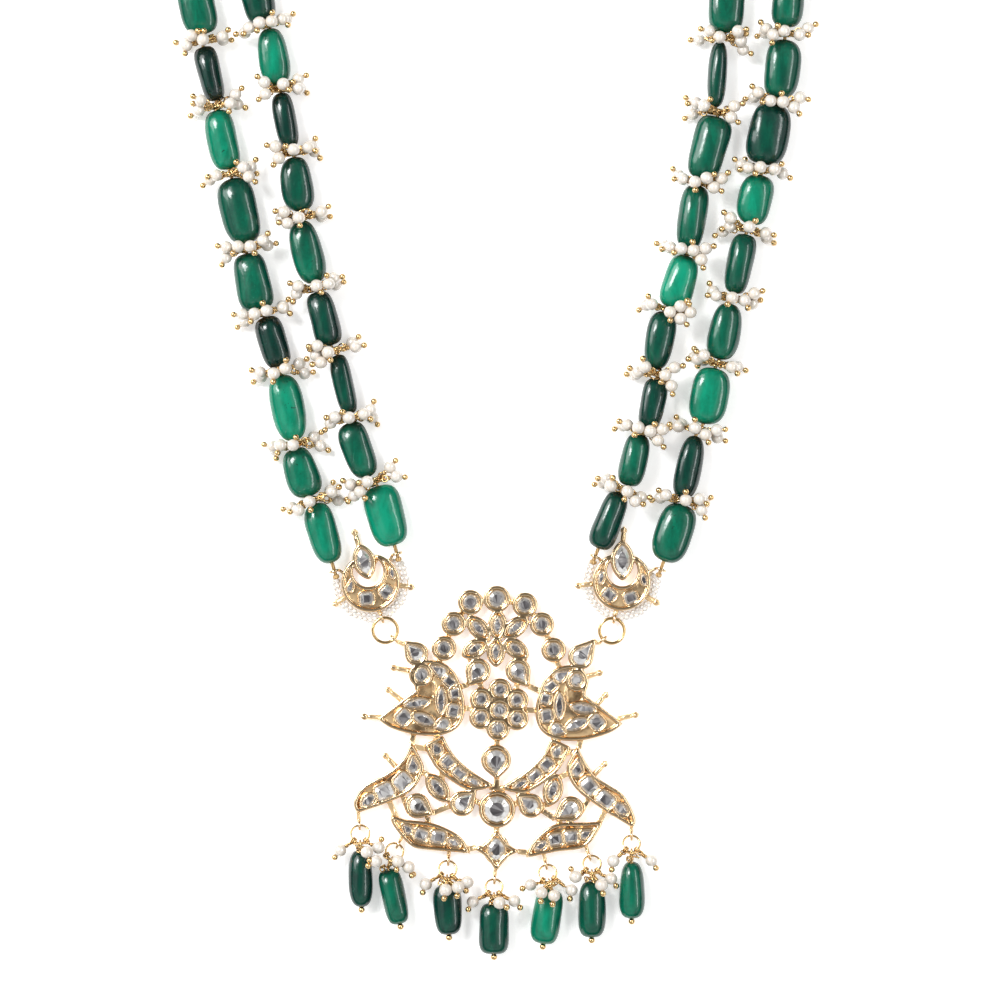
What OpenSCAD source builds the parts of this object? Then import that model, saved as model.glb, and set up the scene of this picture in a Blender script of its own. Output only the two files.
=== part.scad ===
// Long two-row kundan necklace: a soldered gold pendant set with foiled flat stones, two crescent
// connectors, seven hanging drops, and two strands of tumbled green beads parted by pearl clusters.
// It lies flat on its back. X runs to the right, Y up to the clasp and Z up from the surface.

/* [Gold work] */
// Height of the setting rims above the back
rim_h = 2.7; // [2.4:0.1:3.2]
// Height of the gold field between the rim and the stones of a leaf
field_h = 2.2; // [1.8:0.1:2.4]
// Thickness of the gold floor under the stones
floor_h = 1.0; // [0.8:0.1:1.2]
// Width of the raised rim round a leaf
rim_w = 0.8; // [0.6:0.1:1.0]
// Wall of a single stone's setting
collet_wall = 1.15; // [1.0:0.05:1.3]
// Height of the solder bars that join neighbouring settings
bridge_h = 1.8; // [1.4:0.1:2.2]
// Radius of the wire of the eyelets
eyelet_wire = 0.35; // [0.3:0.01:0.4]

/* [Stones] */
// Gap between a stone and its setting, all round
stone_gap = 0.12; // [0.1:0.01:0.2]
// Height of a stone's table above the back
table_h = 2.75; // [2.6:0.05:3.2]
// Height of a stone's girdle above the back
girdle_h = 2.1; // [1.8:0.05:2.3]
// Size of the table against the girdle
table_ratio = 0.55; // [0.4:0.05:0.7]

/* [Beads and pearls] */
// Thickness of the strand beads, from the surface up
bead_t = 7; // [6.6:0.1:7.6]
// Thickness of the hanging beads
drop_t = 6.4; // [6:0.1:7]
// Bore through the hanging beads
drop_bore_d = 1.4; // [1.2:0.1:1.5]
// Diameter of the thread
thread_d = 0.9; // [0.7:0.05:1.0]
// Bore through the strand beads
bore_d = 1.5; // [1.3:0.1:1.6]
// Gap between two strand beads on the hidden stretch
bead_gap = 2; // [1.9:0.1:2.4]
// Diameter of a pearl
pearl_d = 3.3; // [3:0.1:3.5]
// Diameter of the gold ball at the end of a pin
ball_d = 1.64; // [1.5:0.02:1.8]

/* [Links and clasp] */
// Radius of the wire of the two large link rings
link_wire = 0.38; // [0.34:0.01:0.4]
// Radius of the wire of the drop rings
drop_ring_wire = 0.27; // [0.24:0.01:0.3]
// Tilt of the drop rings, up towards the beads
drop_ring_tilt = 22; // [18:1:25]
// Width of the clasp along the strands
clasp_w = 9; // [8:0.5:11]
// Height of the clasp
clasp_h = 6; // [5.5:0.1:6.5]

/* [Hidden] */
$fn = 48;
deep = 10; // reach of a cut past the top
gold = "goldenrod";
glass_white = "whitesmoke";
emerald = "seagreen";
pearl_white = "ivory";

// Middle of the whole necklace, which becomes the origin
middle = [-1.9, 105.56];
// Centre of the arc that the hidden stretch follows behind the neck
neck = [-1.25, 190.5];
// Radii of the two strands at the clasp
outer_r = 74.5;
inner_r = 60;
thread_z = bead_t / 2;

// Single round settings: x, y, outer diameter
arch_rounds = [[-13.5, 17.9, 6.1], [-11.1, 24, 6.1], [-6.9, 29.4, 6.2], [-0.25, 30.25, 6.6],
    [6.75, 28.75, 6.2], [11, 23.9, 6], [13.9, 17.5, 6.1]];
rosette_rounds = [[0.5, 7.5, 5.7], [-4.15, 5.15, 5.7], [4.75, 4.9, 5.7], [0.4, 2.4, 5.9],
    [-4.3, 0.5, 5.7], [4.75, 0.25, 5.7], [0, -2.25, 5.8]];
eye_rounds = [[-19.25, 11.25, 6], [19.7, 9.9, 5.6]];
centre_round = [-0.25, -22.4, 9.1];

// Single marquise settings: x, y, outer length, outer width, turn
star_marquises = [[-0.1, 23.75, 8.2, 4.6, 90], [-4.9, 22.9, 8.2, 4.6, -48],
    [4.4, 23.1, 8.2, 4.6, 37], [-5.75, 17.75, 7.6, 4.6, 30], [4.5, 17.75, 7.6, 4.6, -36],
    [-0.5, 17, 7.75, 4.6, 90]];
petal_marquises = [[-15.1, -17, 9, 4.9, -52], [13.75, -17.6, 8.4, 5, 74]];

// Single pear settings: x and y of the round end, its radius, x and y of the tip
upper_pears = [[-5, 12.25, 3.1, -7.5, 8.4], [5, 12.25, 3.1, 7.75, 8.1]];
leaf_pears = [[-20.4, 16.5, 2.9, -23.5, 19.75], [20.7, 15.75, 3.1, 24.5, 20.3]];
petal_pears = [[-20.25, -21.5, 3.1, -16, -23.75], [-9, -21, 3.1, -5.3, -17.5],
    [8.25, -21.5, 3, 4.4, -18.5], [18.25, -22.25, 3.1, 13.75, -25]];
centre_pear = [-0.5, -10, 3.7, -0.25, -14.85];
base_oval = [-0.4, -32.4, 6.6, 7.8];

// Solder bars and short tubes: width and underside of a bar, height of a tube's middle, its radius,
// and the radii of the ring at its tip and of the ring's wire
bar_w = 1.4;
bar_z = 0.2;
stub_z = 1.3;
stub_r = 0.6;
stub_ring_r = 0.62;
stub_ring_wire = 0.33;
// Middle radii of the eyelets that hold the link rings, the drop rings and the strands
link_eye_r = 1;
drop_eye_r = 0.95;
strand_eye_r = 1.1;
// Radii of the wires that carry those eyelets, and the height of their roots
link_post_r = 0.55;
drop_post_r = 0.5;
strand_post_r = 0.4;
post_z = 1.2;

// Leaf outlines: smooth sides between sharp corners, each side a row of x, y points
left_bird = [
    [[-30.1, 0.25], [-26.25, 3.25], [-22.5, 6], [-20.5, 7.5]],
    [[-20.5, 7.5], [-21.5, 11.5], [-19, 15]],
    [[-19, 15], [-14.5, 14.5], [-11, 12], [-8.9, 7], [-8.4, 2], [-10, -1.75], [-14, -3.7],
        [-20, -3.8], [-26.5, -2.1], [-30.1, 0.25]]
];
left_notch = [[[-20.6, 8.2], [-16.6, 9.6], [-16, 7], [-16.5, 5.5], [-20, 6.2], [-20.6, 8.2]]];
left_sash = [
    [[-18.5, -6.25], [-17, -9.5], [-14.5, -13], [-8.25, -17.25], [-4.5, -17.5], [-1, -16.5]],
    [[-1, -16.5], [-5.75, -13.5], [-9.5, -10.5], [-12, -7.5], [-13.75, -4]],
    [[-13.75, -4], [-18.5, -6.25]]
];
left_leaf = [
    [[-21.75, -5.5], [-19.25, -10], [-18.75, -12.75], [-21.5, -17.5], [-27.5, -20.6],
        [-35.25, -23.25]],
    [[-35.25, -23.25], [-36, -20.75], [-33.75, -16.75], [-27.25, -13], [-23.5, -9.5],
        [-21.75, -5.5]]
];
right_leaf = [
    [[20, -6.75], [21.25, -9.5], [24.25, -14], [28, -16.5], [31.5, -19], [34.25, -24.5],
        [33.75, -27]],
    [[33.75, -27], [30.5, -25], [26.75, -22.75], [19.75, -17.5], [17.25, -12.5], [18.25, -9.5],
        [20, -6.75]]
];
left_base = [
    [[-26.75, -23.75], [-26.25, -26.25], [-22, -31.25], [-18.25, -32.4], [-10.75, -33],
        [-7, -33.5]],
    [[-7, -33.5], [-9.5, -29.25], [-15.75, -26.1], [-23.25, -25], [-26.75, -23.75]]
];
right_base = [
    [[26, -25.5], [25.5, -27], [21.75, -31.75], [14.25, -33], [7, -34.5]],
    [[7, -34.5], [9.25, -30], [14.25, -26.25], [21.75, -25.75], [26, -25.5]]
];
base_star = [
    [[-6.4, -32.1], [-3.3, -31], [-0.3, -27.6]], [[-0.3, -27.6], [2.5, -31.2], [5.7, -32.9]],
    [[5.7, -32.9], [2.3, -34.4], [-0.4, -38]], [[-0.4, -38], [-3, -34.2], [-6.4, -32.1]]
];
// Shifts that carry the mirrored left bird and left sash to their places on the right
right_bird_shift = [1.1, -1.25];
right_sash_shift = [-0.4, -0.6];

// Stones set in the leaves: kind, x, y, length, width, turn
left_bird_set = [["pear", -15, 12.4, 4.6, 2.8, 150], ["square", -12.1, 9.6, 3.2, 2.5, 140],
    ["square", -10.75, 6.6, 2.8, 2.7, 100], ["marquise", -14.25, 4.75, 6.6, 2.4, 90],
    ["square", -11.1, 2.2, 3.2, 2.9, 80], ["marquise", -20.25, 4.1, 6.2, 2.5, 8],
    ["square", -23.6, 0.6, 3.6, 3.3, 45], ["marquise", -18.6, 0.1, 6, 2.8, -22],
    ["pear", -14, -1.3, 4, 3, 200]];
left_sash_set = [["pear", -15.4, -7.2, 3.5, 2.6, 118], ["square", -12.6, -10.6, 3, 2.9, -48],
    ["square", -9.6, -13.4, 3.2, 2.4, -40], ["marquise", -6, -15.5, 3.9, 1.9, -25]];
left_leaf_set = [["pear", -21.3, -11.2, 4.3, 2.8, 95], ["square", -23.9, -15.5, 4, 3.6, 45],
    ["square", -28.4, -18, 4.2, 3.6, 25], ["marquise", -32.4, -20.2, 4.3, 2.7, 40]];
right_leaf_set = [["pear", 19.9, -12, 4.3, 2.8, 80], ["square", 22.8, -16.6, 4, 3.3, -50],
    ["square", 26.9, -20, 4.2, 3.3, -38], ["marquise", 30.8, -22.4, 4.2, 2.6, -42]];
left_base_set = [["pear", -22.7, -27.3, 3.2, 2.2, 135], ["square", -19.2, -28.8, 3.3, 2.7, -20],
    ["square", -15, -29.4, 3.5, 3, -8], ["marquise", -11, -30.7, 3.4, 2.1, -25]];
right_base_set = [["marquise", 10.8, -31.5, 3.6, 2.1, 30], ["square", 14.4, -30, 3.4, 2.8, 10],
    ["square", 18.3, -29.3, 3.4, 2.8, 4], ["pear", 22.1, -28.6, 3.4, 2.3, 30]];

// Solder bars between neighbours: x, y of one end, x, y of the other
bridges = [[-13.5, 17.9, -11.1, 24], [-11.1, 24, -6.9, 29.4], [-6.9, 29.4, -0.25, 30.25],
    [-0.25, 30.25, 6.75, 28.75], [6.75, 28.75, 11, 23.9], [11, 23.9, 13.9, 17.5],
    [-13.5, 17.9, -15, 13.4], [13.9, 17.5, 15.5, 12.6], [-6.9, 29.4, -7, 25.5],
    [6.75, 28.75, 6.8, 25.2], [-0.1, 27, -0.1, 30], [-7.6, 16.6, -6, 13], [6.9, 16.2, 6, 13],
    [-7.5, 8.8, -10, 8], [7.75, 8.4, 10.8, 7], [-5, 12.25, -3.8, 5.5], [5, 12.25, 4.5, 5.5],
    [-4.2, 2.8, -9.5, 2.8], [4.7, 2.6, 10.5, 2.2], [0, -2.25, -0.5, -10],
    [-0.3, -13.5, -0.3, -20], [-0.25, -22.4, -0.35, -30], [-5.5, -32, -8.5, -32.6],
    [5, -33, 8.6, -33.4], [-25.3, -25, -27.4, -20], [25.2, -26, 27, -22.4],
    [-19.2, -13, -16.8, -14.2], [18, -13.2, 14.2, -15], [-14, -13, -14, -16],
    [12.6, -12.6, 13.6, -15.5], [-7.4, -17, -7.6, -19.5], [7.4, -17, 7, -19.6],
    [-16.4, -23.4, -12, -21.6], [14.2, -24.8, 10.5, -22.4], [-13.4, -19.6, -11.3, -20.6],
    [13.3, -21, 10.4, -21.6], [-6.2, -20, -3, -21.8], [5.4, -20.4, 3, -22],
    [-21.5, -6.8, -16.8, -7.4], [19.6, -8, 16.6, -8.4], [-21.6, -6, -21, -3],
    [20.2, -7.2, 21, -3.6], [-15.8, -6, -15, -3], [15.2, -6.4, 14.6, -4],
    [-22.6, -22.4, -24, -18.6], [20.6, -23.4, 22.8, -19.6], [-17.6, -24.4, -17.4, -26.6],
    [15.4, -25.2, 15.4, -27.4], [-19.8, 13.2, -19.6, 15.2], [20, 12.2, 20.2, 14.2],
    [-0.25, 20.5, -0.2, 21.4], [-2.2, -16.9, 1.8, -17.3]];

// Short tubes with a ring at the tip: x, y of the tip, x, y of the root
pendant_stubs = [[-33.6, 0.75, -29, 0.6], [-27.5, 7.5, -23.8, 4.6], [-26.25, 13, -21.6, 12.2],
    [-28.2, -9, -25, -12.4], [34.5, 1.25, 30, 0.2], [27, 6.25, 24.2, 3.2],
    [25.5, 11.75, 21.6, 10.6], [26.75, -11, 23.4, -14.4]];

// The two crescents: centre, centre of the hole, marquise centre, length, width, turn,
// middle of the open top as an angle and half of its width
crescents = [
    [[-31.9, 34.25], [-32.5, 37.1], [-33.5, 39.6], [9.25, 5.5, -74], [102, 38]],
    [[30.9, 34.6], [31.1, 37.25], [31.1, 39.9], [10.25, 5.7, 90], [88, 38]]
];
crescent_r = 7.25;
crescent_hole_r = 3.9;
crescent_sets = [
    [["pear", -36.9, 33.6, 3.4, 1.75, 75], ["square", -32.9, 30.3, 3.2, 2.9, 5],
        ["square", -27.9, 32, 3, 2.7, 45], ["oval", -26.5, 36.7, 2.8, 1.4, 100]],
    [["oval", 25.8, 35.6, 3.2, 1.7, 80], ["square", 27.9, 31.3, 3, 2.7, -40],
        ["square", 33.2, 30.5, 3, 2.7, 20], ["oval", 36.5, 35, 3, 1.6, 105]]
];
// Stubs of the crescents: x, y of the tip, x, y of the root
crescent_stubs = [
    [[-40.75, 29, -37, 31.4], [-21.7, 33.2, -26, 33.8], [-35.9, 47, -34.7, 43]],
    [[20, 33.5, 24.8, 34.2], [39.75, 29.25, 36, 31.4], [31.5, 47.5, 31.2, 44]]
];

// The two link rings: centre x, y, middle radius; then where each pierces its eyelets, as angles,
// and the x, y of the gold that carries each eyelet
link_rings = [
    [-28.25, 22.4, 3.1, 105, -30.4, 28.2, -43.5, -23.3, 18.8],
    [28.5, 22.25, 3.1, 78, 30, 28.6, -135, 24.3, 19.3]
];
link_z = 1.5;

// The drops: ring centre x, y, its outer radius, x, y of the gold above it,
// bead centre x, y, width, length, lean to the left
drops = [
    [-34.5, -28.6, 2.6, -35.1, -22.4, -34.25, -39.6, 6.25, 14.2, 1],
    [-25.9, -33, 2.5, -24, -29.2, -26.1, -44.1, 6.25, 14, 13],
    [-12.6, -37.4, 2.5, -12.2, -32.2, -12.6, -47.4, 7.25, 12.5, 3],
    [-1, -41.9, 2.4, -0.6, -36.4, -1, -52.1, 8, 12.8, 0],
    [12.4, -38.4, 2.5, 11.3, -32.8, 12.25, -49.1, 7.75, 13.8, -8],
    [23.5, -36.1, 2.5, 21.8, -30.8, 23.4, -47.3, 7, 14, 0],
    [33.4, -31, 2.4, 33.4, -25.6, 33.4, -42.5, 6.6, 14.2, 0]
];
// Pearls at the drops: number of the drop, x, y, height, turn of the gold ball
drop_pearl_rows = [
    [1, -39.2, -34, 2.4, -126], [1, -32.2, -34.6, 7.4, -70], [1, -30.3, -33.2, 4.6, 70],
    [1, -30.3, -37.8, 6.6, -150],
    [2, -22.2, -38.6, 2.1, -60], [2, -20.4, -37.3, 5, -70], [2, -23.6, -35.4, 5.9, -100],
    [3, -17.8, -43.3, 2.2, -110], [3, -12.7, -45, 8.2, -100], [3, -9, -43.2, 6.8, -95],
    [3, -6.4, -42, 2.4, -100],
    [4, -6.6, -47.9, 2.4, -120], [4, 1.2, -46.8, 7.3, -30], [4, 5.4, -47, 3, -50],
    [5, 7.4, -43.2, 2.3, -155], [5, 9.9, -45, 7.7, -95], [5, 13.7, -46.4, 8.1, -100],
    [5, 18.4, -44.6, 2.4, -100],
    [6, 18.9, -40.4, 3.2, 120], [6, 26.4, -42.8, 7.3, -80], [6, 28.2, -41.4, 2.2, -55],
    [7, 28.8, -36.6, 3.4, -100], [7, 38.2, -36.6, 2.6, -60]
];
pin_loop_r = 0.75;
pin_wire = 0.25;
foot_drop = 0.75; // from the lower end of a hanging bead to the ball under it
saddle_turn = 42; // where the loops of a drop's pearls hold the ring, either side of the pin
saddle_r = 0.8;
saddle_wire = 0.3;
saddle_rise = 3.6; // from those loops to the knot above them
knot_r = 0.42; // radius of the wire knots where the pins of a drop's pearls start

// Visible beads from the neck down: x, y, width, length, lean to the left
left_outer = [[-75, 178.5, 9.5, 14.5, 12], [-72, 161.5, 6.25, 13.8, 14], [-68.75, 145, 7.75, 15, 12],
    [-64.5, 127.25, 10, 16.6, 14], [-61.25, 109.5, 9.25, 14.5, 12.5], [-56.25, 94.5, 7.5, 13, 17],
    [-52.6, 78, 8.5, 16.6, 12], [-49, 61.9, 8.75, 12.6, 17], [-43.6, 46.75, 8.25, 15.4, 16]];
left_inner = [[-60.4, 181, 8.75, 13.5, 14], [-56.1, 165.75, 7.75, 14.2, 8],
    [-53.1, 149.75, 5.75, 14, 10], [-50.1, 133.9, 8.25, 13.6, 7], [-47.6, 116.9, 8.25, 16, 14],
    [-43.6, 100.25, 7.5, 13.8, 15], [-38.5, 83.9, 5.25, 15, 12], [-34.9, 67.5, 8, 14.4, 19],
    [-28, 51.1, 9.75, 15.4, 16]];
right_inner = [[57.25, 178.75, 9.25, 14, -4], [54.9, 161.4, 5, 16.4, -4], [52.75, 143, 9.5, 16, -15],
    [48.6, 125.6, 7.5, 16, -8], [45.25, 109.5, 8.75, 13.6, -17], [40.5, 94.9, 7.5, 14.6, -11],
    [38.6, 79, 6.5, 12.8, -12], [34, 65, 7, 13.2, -12], [27.75, 49.9, 7.25, 15, -21]];
right_outer = [[72.4, 180.5, 8.5, 14.8, -4], [70.9, 162.75, 9.5, 14.6, -6], [67.6, 146.4, 10.5, 15.4, -11],
    [64.4, 130, 9, 12.6, -12], [60.5, 114, 7, 15, -11], [56.6, 97.1, 8.25, 14.2, -11],
    [52.75, 81, 10, 14.2, -12], [47.75, 63.25, 6.75, 15.8, -12], [44, 46.75, 9.75, 15, -20]];
hidden_widths = [8.5, 7, 9.5, 7.5, 9, 6.75, 8.25];
hidden_outer = 7; // beads on half of the hidden outer stretch
hidden_inner = 6; // and on half of the inner one
clasp_gap = 1.6; // from the clasp to the first bead

// Pearl clusters, one pattern a row of pearls: side (0 lies on top), reach past the bead's edge or,
// on top, across from the thread, place along the thread, height, turn of the gold ball, and the
// angle at which its pin leaves the loop
cluster_patterns = [
    [[-1, 1.1, -1.7, 1.9, 200, 220], [-1, 0.5, 1.3, 5.2, 160, 155], [0, -1.7, 0.2, 7.3, 235, 110],
        [0, 1.7, -0.6, 7.5, 60, 70], [1, 0.5, 1.6, 1.9, 30, -35], [1, 1.5, -1.5, 4.2, -25, 20]],
    [[-1, 0.4, 0.9, 5.2, 160, 150], [-1, 1.7, -2.3, 1.9, 215, 205], [0, 0.3, 0.8, 7.5, 130, 90],
        [1, 0.3, 0.5, 5.2, -40, 40], [1, 1.6, 2.1, 2, 40, 0], [1, 1, -2.6, 1.9, -60, -40]],
    [[-1, 1.3, 1.8, 2.1, 150, 220], [-1, 0.9, -1.2, 3.8, 190, 165], [0, -0.6, -0.6, 7.5, 265, 110],
        [0, 2.9, 0.6, 7.1, 15, 65], [1, 1.2, -1.9, 2.1, -35, -35], [1, 1.6, 1.9, 3.6, 45, 15]],
    [[-1, 0.3, -0.9, 1.9, 195, 215], [-1, 1.3, 1.6, 5.2, 165, 155], [0, -2.3, -0.3, 7.2, 210, 115],
        [0, 1.2, 0.5, 7.6, 95, 75], [1, 0.6, -1.6, 3.9, -50, 20], [1, 1.6, 1.4, 2.2, 10, -30]]
];
hub_r = 1.15;
hub_wire = 0.38;
bead_clear = 0.4; // from a bead's edge to the pearls beside it
facing_rise = 0.09; // rise of the pearls on the facing side, for each mm along the thread
pearl_reach = 2.2; // from the middle of a pearl to the middle of its gold ball
high_pearl = 6; // height above which a pearl's gold ball rises

module placed() translate([-middle.x, -middle.y, 0]) children();

module mirrored(shift) translate([shift.x, shift.y, 0]) mirror([1, 0, 0]) children();

module torus(middle_r, wire_r) rotate_extrude() translate([middle_r, 0]) rotate(180) circle(wire_r, $fn = 20);

// Straight round rod from a to b
module rod(a, b, r) {
    d = b - a;
    translate(a) rotate([0, acos(d.z / norm(d)), atan2(d.y, d.x)]) cylinder(r = r, h = norm(d), $fn = 20);
}

// Outlines of stones and settings, with the tip of a pear towards +X
function arc_point(r, a) = [r * cos(a), r * sin(a)];

function oval_outline(len, wid, n) =
    [for (i = [0:n - 1]) [len / 2 * cos(360 * i / n), wid / 2 * sin(360 * i / n)]];

function marquise_outline(len, wid, n) =
    let (r = (len * len + wid * wid) / (4 * wid), half = asin(len / 2 / r), h = n / 2)
    [for (s = [1, -1], i = [0:h - 1])
        let (a = half * (1 - 2 * i / h)) [s * r * sin(a), s * (r * cos(a) - r + wid / 2)]];

// Round end of radius r about the origin and a tip at reach
function pear_points(r, reach, n) =
    let (open = acos(r / reach))
    concat([for (i = [0:n - 2]) arc_point(r, open + (360 - 2 * open) * i / (n - 2))], [[reach, 0]]);

function pear_outline(len, wid, n) =
    [for (p = pear_points(wid / 2, len - wid / 2, n)) [p.x - (len - wid) / 2, p.y]];

function square_outline(len, wid) =
    let (a = len / 2, b = wid / 2, c = min(a, b) * 0.35)
    [[a, c - b], [a, b - c], [a - c, b], [c - a, b], [-a, b - c], [-a, c - b], [c - a, -b], [a - c, -b]];

function outline(kind, len, wid) =
    kind == "square" ? square_outline(len, wid)
    : kind == "marquise" ? marquise_outline(len, wid, 10)
    : kind == "pear" ? pear_outline(len, wid, 10)
    : oval_outline(len, wid, 10);

// Smooth closed outline through the points of its sides, with a corner where two sides meet
function curve_point(p, i, t) =
    let (a = p[max(i - 1, 0)], b = p[i], c = p[i + 1], d = p[min(i + 2, len(p) - 1)])
    (2 * b + (c - a) * t + (2 * a - 5 * b + 4 * c - d) * t * t + (3 * b - a - 3 * c + d) * t * t * t) / 2;

function smooth_outline(sides, steps = 3) =
    [for (s = sides, i = [0:len(s) - 2], k = [0:steps - 1]) curve_point(s, i, k / steps)];

module leaf_2d(sides) polygon(smooth_outline(sides));

module placed_outline(row) translate([row[1], row[2]]) rotate(row[5]) children();

module pear_2d(p, grow) {
    d = [p[3] - p[0], p[4] - p[1]];
    translate([p[0], p[1]]) rotate(atan2(d.y, d.x))
        polygon(pear_points(p[2] + grow, norm(d) + grow * 1.5, 22));
}

// Rows of stones for single settings, in the form of the leaf tables
function round_rows(rounds) =
    [for (r = rounds) ["round", r[0], r[1], r[2] - 2 * collet_wall, r[2] - 2 * collet_wall, 18]];

function marquise_rows(table) =
    [for (m = table) ["marquise", m[0], m[1], m[2] - 3 * collet_wall, m[3] - 1.8 * collet_wall, m[4]]];

function pear_rows(table) = [for (p = table)
    let (d = [p[3] - p[0], p[4] - p[1]], wid = 2 * (p[2] - collet_wall), len = wid / 2 + norm(d) - 1.1,
        mid = (len - wid) / 2 / norm(d))
    ["pear", p[0] + d.x * mid, p[1] + d.y * mid, len, wid, atan2(d.y, d.x)]];

base_rows = [["oval", base_oval[0], base_oval[1], 5, 3.9, 90]];

function crescent_rows(side) =
    let (c = crescents[side], m = c[2])
    concat(crescent_sets[side], marquise_rows([[m.x, m.y, c[3][0], c[3][1], c[3][2]]]));

// A flat-backed stone: upright wall, sloping crown facets and a flat table
module stone(row) {
    ring = outline(row[0], row[3] - 2 * stone_gap, row[4] - 2 * stone_gap);
    n = len(ring);
    points = concat([for (p = ring) [p.x, p.y, floor_h + stone_gap]],
        [for (p = ring) [p.x, p.y, girdle_h]],
        [for (p = ring) [p.x * table_ratio, p.y * table_ratio, table_h]]);
    sides = [for (k = [0, n], i = [0:n - 1]) [k + i, k + n + i, k + n + (i + 1) % n, k + (i + 1) % n]];
    faces = concat([[for (i = [0:n - 1]) i]], sides, [[for (i = [n - 1:-1:0]) 2 * n + i]]);
    placed_outline(row) polyhedron(points, faces);
}

module stones(rows) color(glass_white) placed() for (row = rows) stone(row);

module mirrored_stones(rows, shift)
    color(glass_white) placed() mirrored(shift) for (row = rows) stone(row);

// The opening that a stone sits in
module seat(row) placed_outline(row)
    if (row[0] == "round") circle(d = row[3]);
    else polygon(outline(row[0], row[3], row[4]));

module bridge(b) {
    d = [b[2] - b[0], b[3] - b[1]];
    translate([b[0], b[1], bar_z]) rotate(atan2(d.y, d.x))
        translate([0, -bar_w / 2, 0]) cube([norm(d), bar_w, bridge_h - bar_z]);
}

// Short tube with a small ring at its tip
module stub(s) {
    tip = [s[0], s[1], stub_z];
    root = [s[2], s[3], stub_z];
    rod(tip + 0.7 * (root - tip) / norm(root - tip), root, stub_r);
    translate(tip) rotate([0, 90, atan2(root.y - tip.y, root.x - tip.x) + 90])
        torus(stub_ring_r, stub_ring_wire);
}

// Geometry of a drop's ring, which rises from its eyelet to the bead
function bead_axis(lean) = [sin(lean), -cos(lean)];
function drop_top(d) = [d[5], d[6]] - bead_axis(d[9]) * d[8] / 2;
function ring_r(d) = d[2] - drop_ring_wire;
function ring_turn(d) = let (v = drop_top(d) - [d[0], d[1]]) atan2(v.y, v.x);
function eyelet_turn(d) = atan2(d[4] - d[1], d[3] - d[0]) - ring_turn(d);
ring_lift = 2.35;

function on_ring(d, r, turn) =
    let (a = r * cos(turn), b = r * sin(turn), t = ring_turn(d), x = a * cos(drop_ring_tilt))
    [d[0] + x * cos(t) - b * sin(t), d[1] + x * sin(t) + b * cos(t), ring_lift + a * sin(drop_ring_tilt)];

module ring_frame(d) translate([d[0], d[1], ring_lift]) rotate(ring_turn(d))
    rotate([0, -drop_ring_tilt, 0]) children();

// Loop of wire round a ring, at a turn of the ring
module loop_on_ring(d, turn, loop_r, wire) ring_frame(d) rotate(turn)
    translate([ring_r(d), 0, 0]) rotate([90, 0, 0]) torus(loop_r, wire);

module drop_eyelet(d) {
    loop_on_ring(d, eyelet_turn(d), drop_eye_r, eyelet_wire);
    rod(on_ring(d, ring_r(d) + drop_eye_r, eyelet_turn(d)), [d[3], d[4], post_z], drop_post_r);
}

// Eyelet for a link ring, at an angle of the ring, carried by the gold at x, y
module link_eyelet(ring, turn, x, y) {
    way = [cos(turn), sin(turn), 0];
    at = [ring[0], ring[1], link_z] + ring[2] * way;
    translate(at) rotate([90, 0, turn]) torus(link_eye_r, eyelet_wire);
    rod(at + link_eye_r * way, [x, y, post_z], link_post_r);
}

module single_settings_2d() {
    for (r = concat(arch_rounds, rosette_rounds, eye_rounds, [centre_round]))
        translate([r[0], r[1]]) circle(d = r[2]);
    for (m = concat(star_marquises, petal_marquises))
        translate([m[0], m[1]]) rotate(m[4]) polygon(marquise_outline(m[2], m[3], 16));
    for (p = concat(upper_pears, leaf_pears, petal_pears, [centre_pear])) pear_2d(p, 0);
    translate([base_oval[0], base_oval[1]]) polygon(oval_outline(base_oval[2], base_oval[3], 24));
}

module bird_2d() leaf_2d(left_bird);

module leaves_2d() {
    bird_2d();
    mirrored(right_bird_shift) bird_2d();
    leaf_2d(left_sash);
    mirrored(right_sash_shift) leaf_2d(left_sash);
    for (l = [left_leaf, right_leaf, left_base, right_base, base_star]) leaf_2d(l);
}

// The field of a leaf, lowered inside its rim
module leaf_fields_2d() {
    offset(delta = -rim_w) bird_2d();
    mirrored(right_bird_shift) offset(delta = -rim_w) bird_2d();
    offset(delta = -rim_w) leaf_2d(left_sash);
    mirrored(right_sash_shift) offset(delta = -rim_w) leaf_2d(left_sash);
    for (l = [left_leaf, right_leaf, left_base, right_base]) offset(delta = -rim_w) leaf_2d(l);
}

leaf_rows = concat(left_leaf_set, right_leaf_set, left_base_set, right_base_set);
single_rows = concat(
    round_rows(concat(arch_rounds, rosette_rounds, eye_rounds, [centre_round])),
    marquise_rows(concat(star_marquises, petal_marquises)),
    pear_rows(concat(upper_pears, leaf_pears, petal_pears, [centre_pear])), base_rows);

module pendant_frame() color(gold) placed() {
    difference() {
        union() {
            linear_extrude(rim_h) union() {
                single_settings_2d();
                leaves_2d();
            }
            for (b = bridges) bridge(b);
        }
        translate([0, 0, field_h]) linear_extrude(deep) difference() {
            leaf_fields_2d();
            single_settings_2d();
        }
        translate([0, 0, floor_h]) linear_extrude(deep) {
            for (row = concat(leaf_rows, single_rows, left_bird_set, left_sash_set)) seat(row);
            mirrored(right_bird_shift) for (row = left_bird_set) seat(row);
            mirrored(right_sash_shift) for (row = left_sash_set) seat(row);
        }
        translate([0, 0, floor_h]) linear_extrude(deep) {
            leaf_2d(left_notch);
            mirrored(right_bird_shift) leaf_2d(left_notch);
        }
    }
    for (s = pendant_stubs) stub(s);
    for (d = drops) drop_eyelet(d);
    for (r = link_rings) link_eyelet(r, r[6], r[7], r[8]);
}

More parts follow.
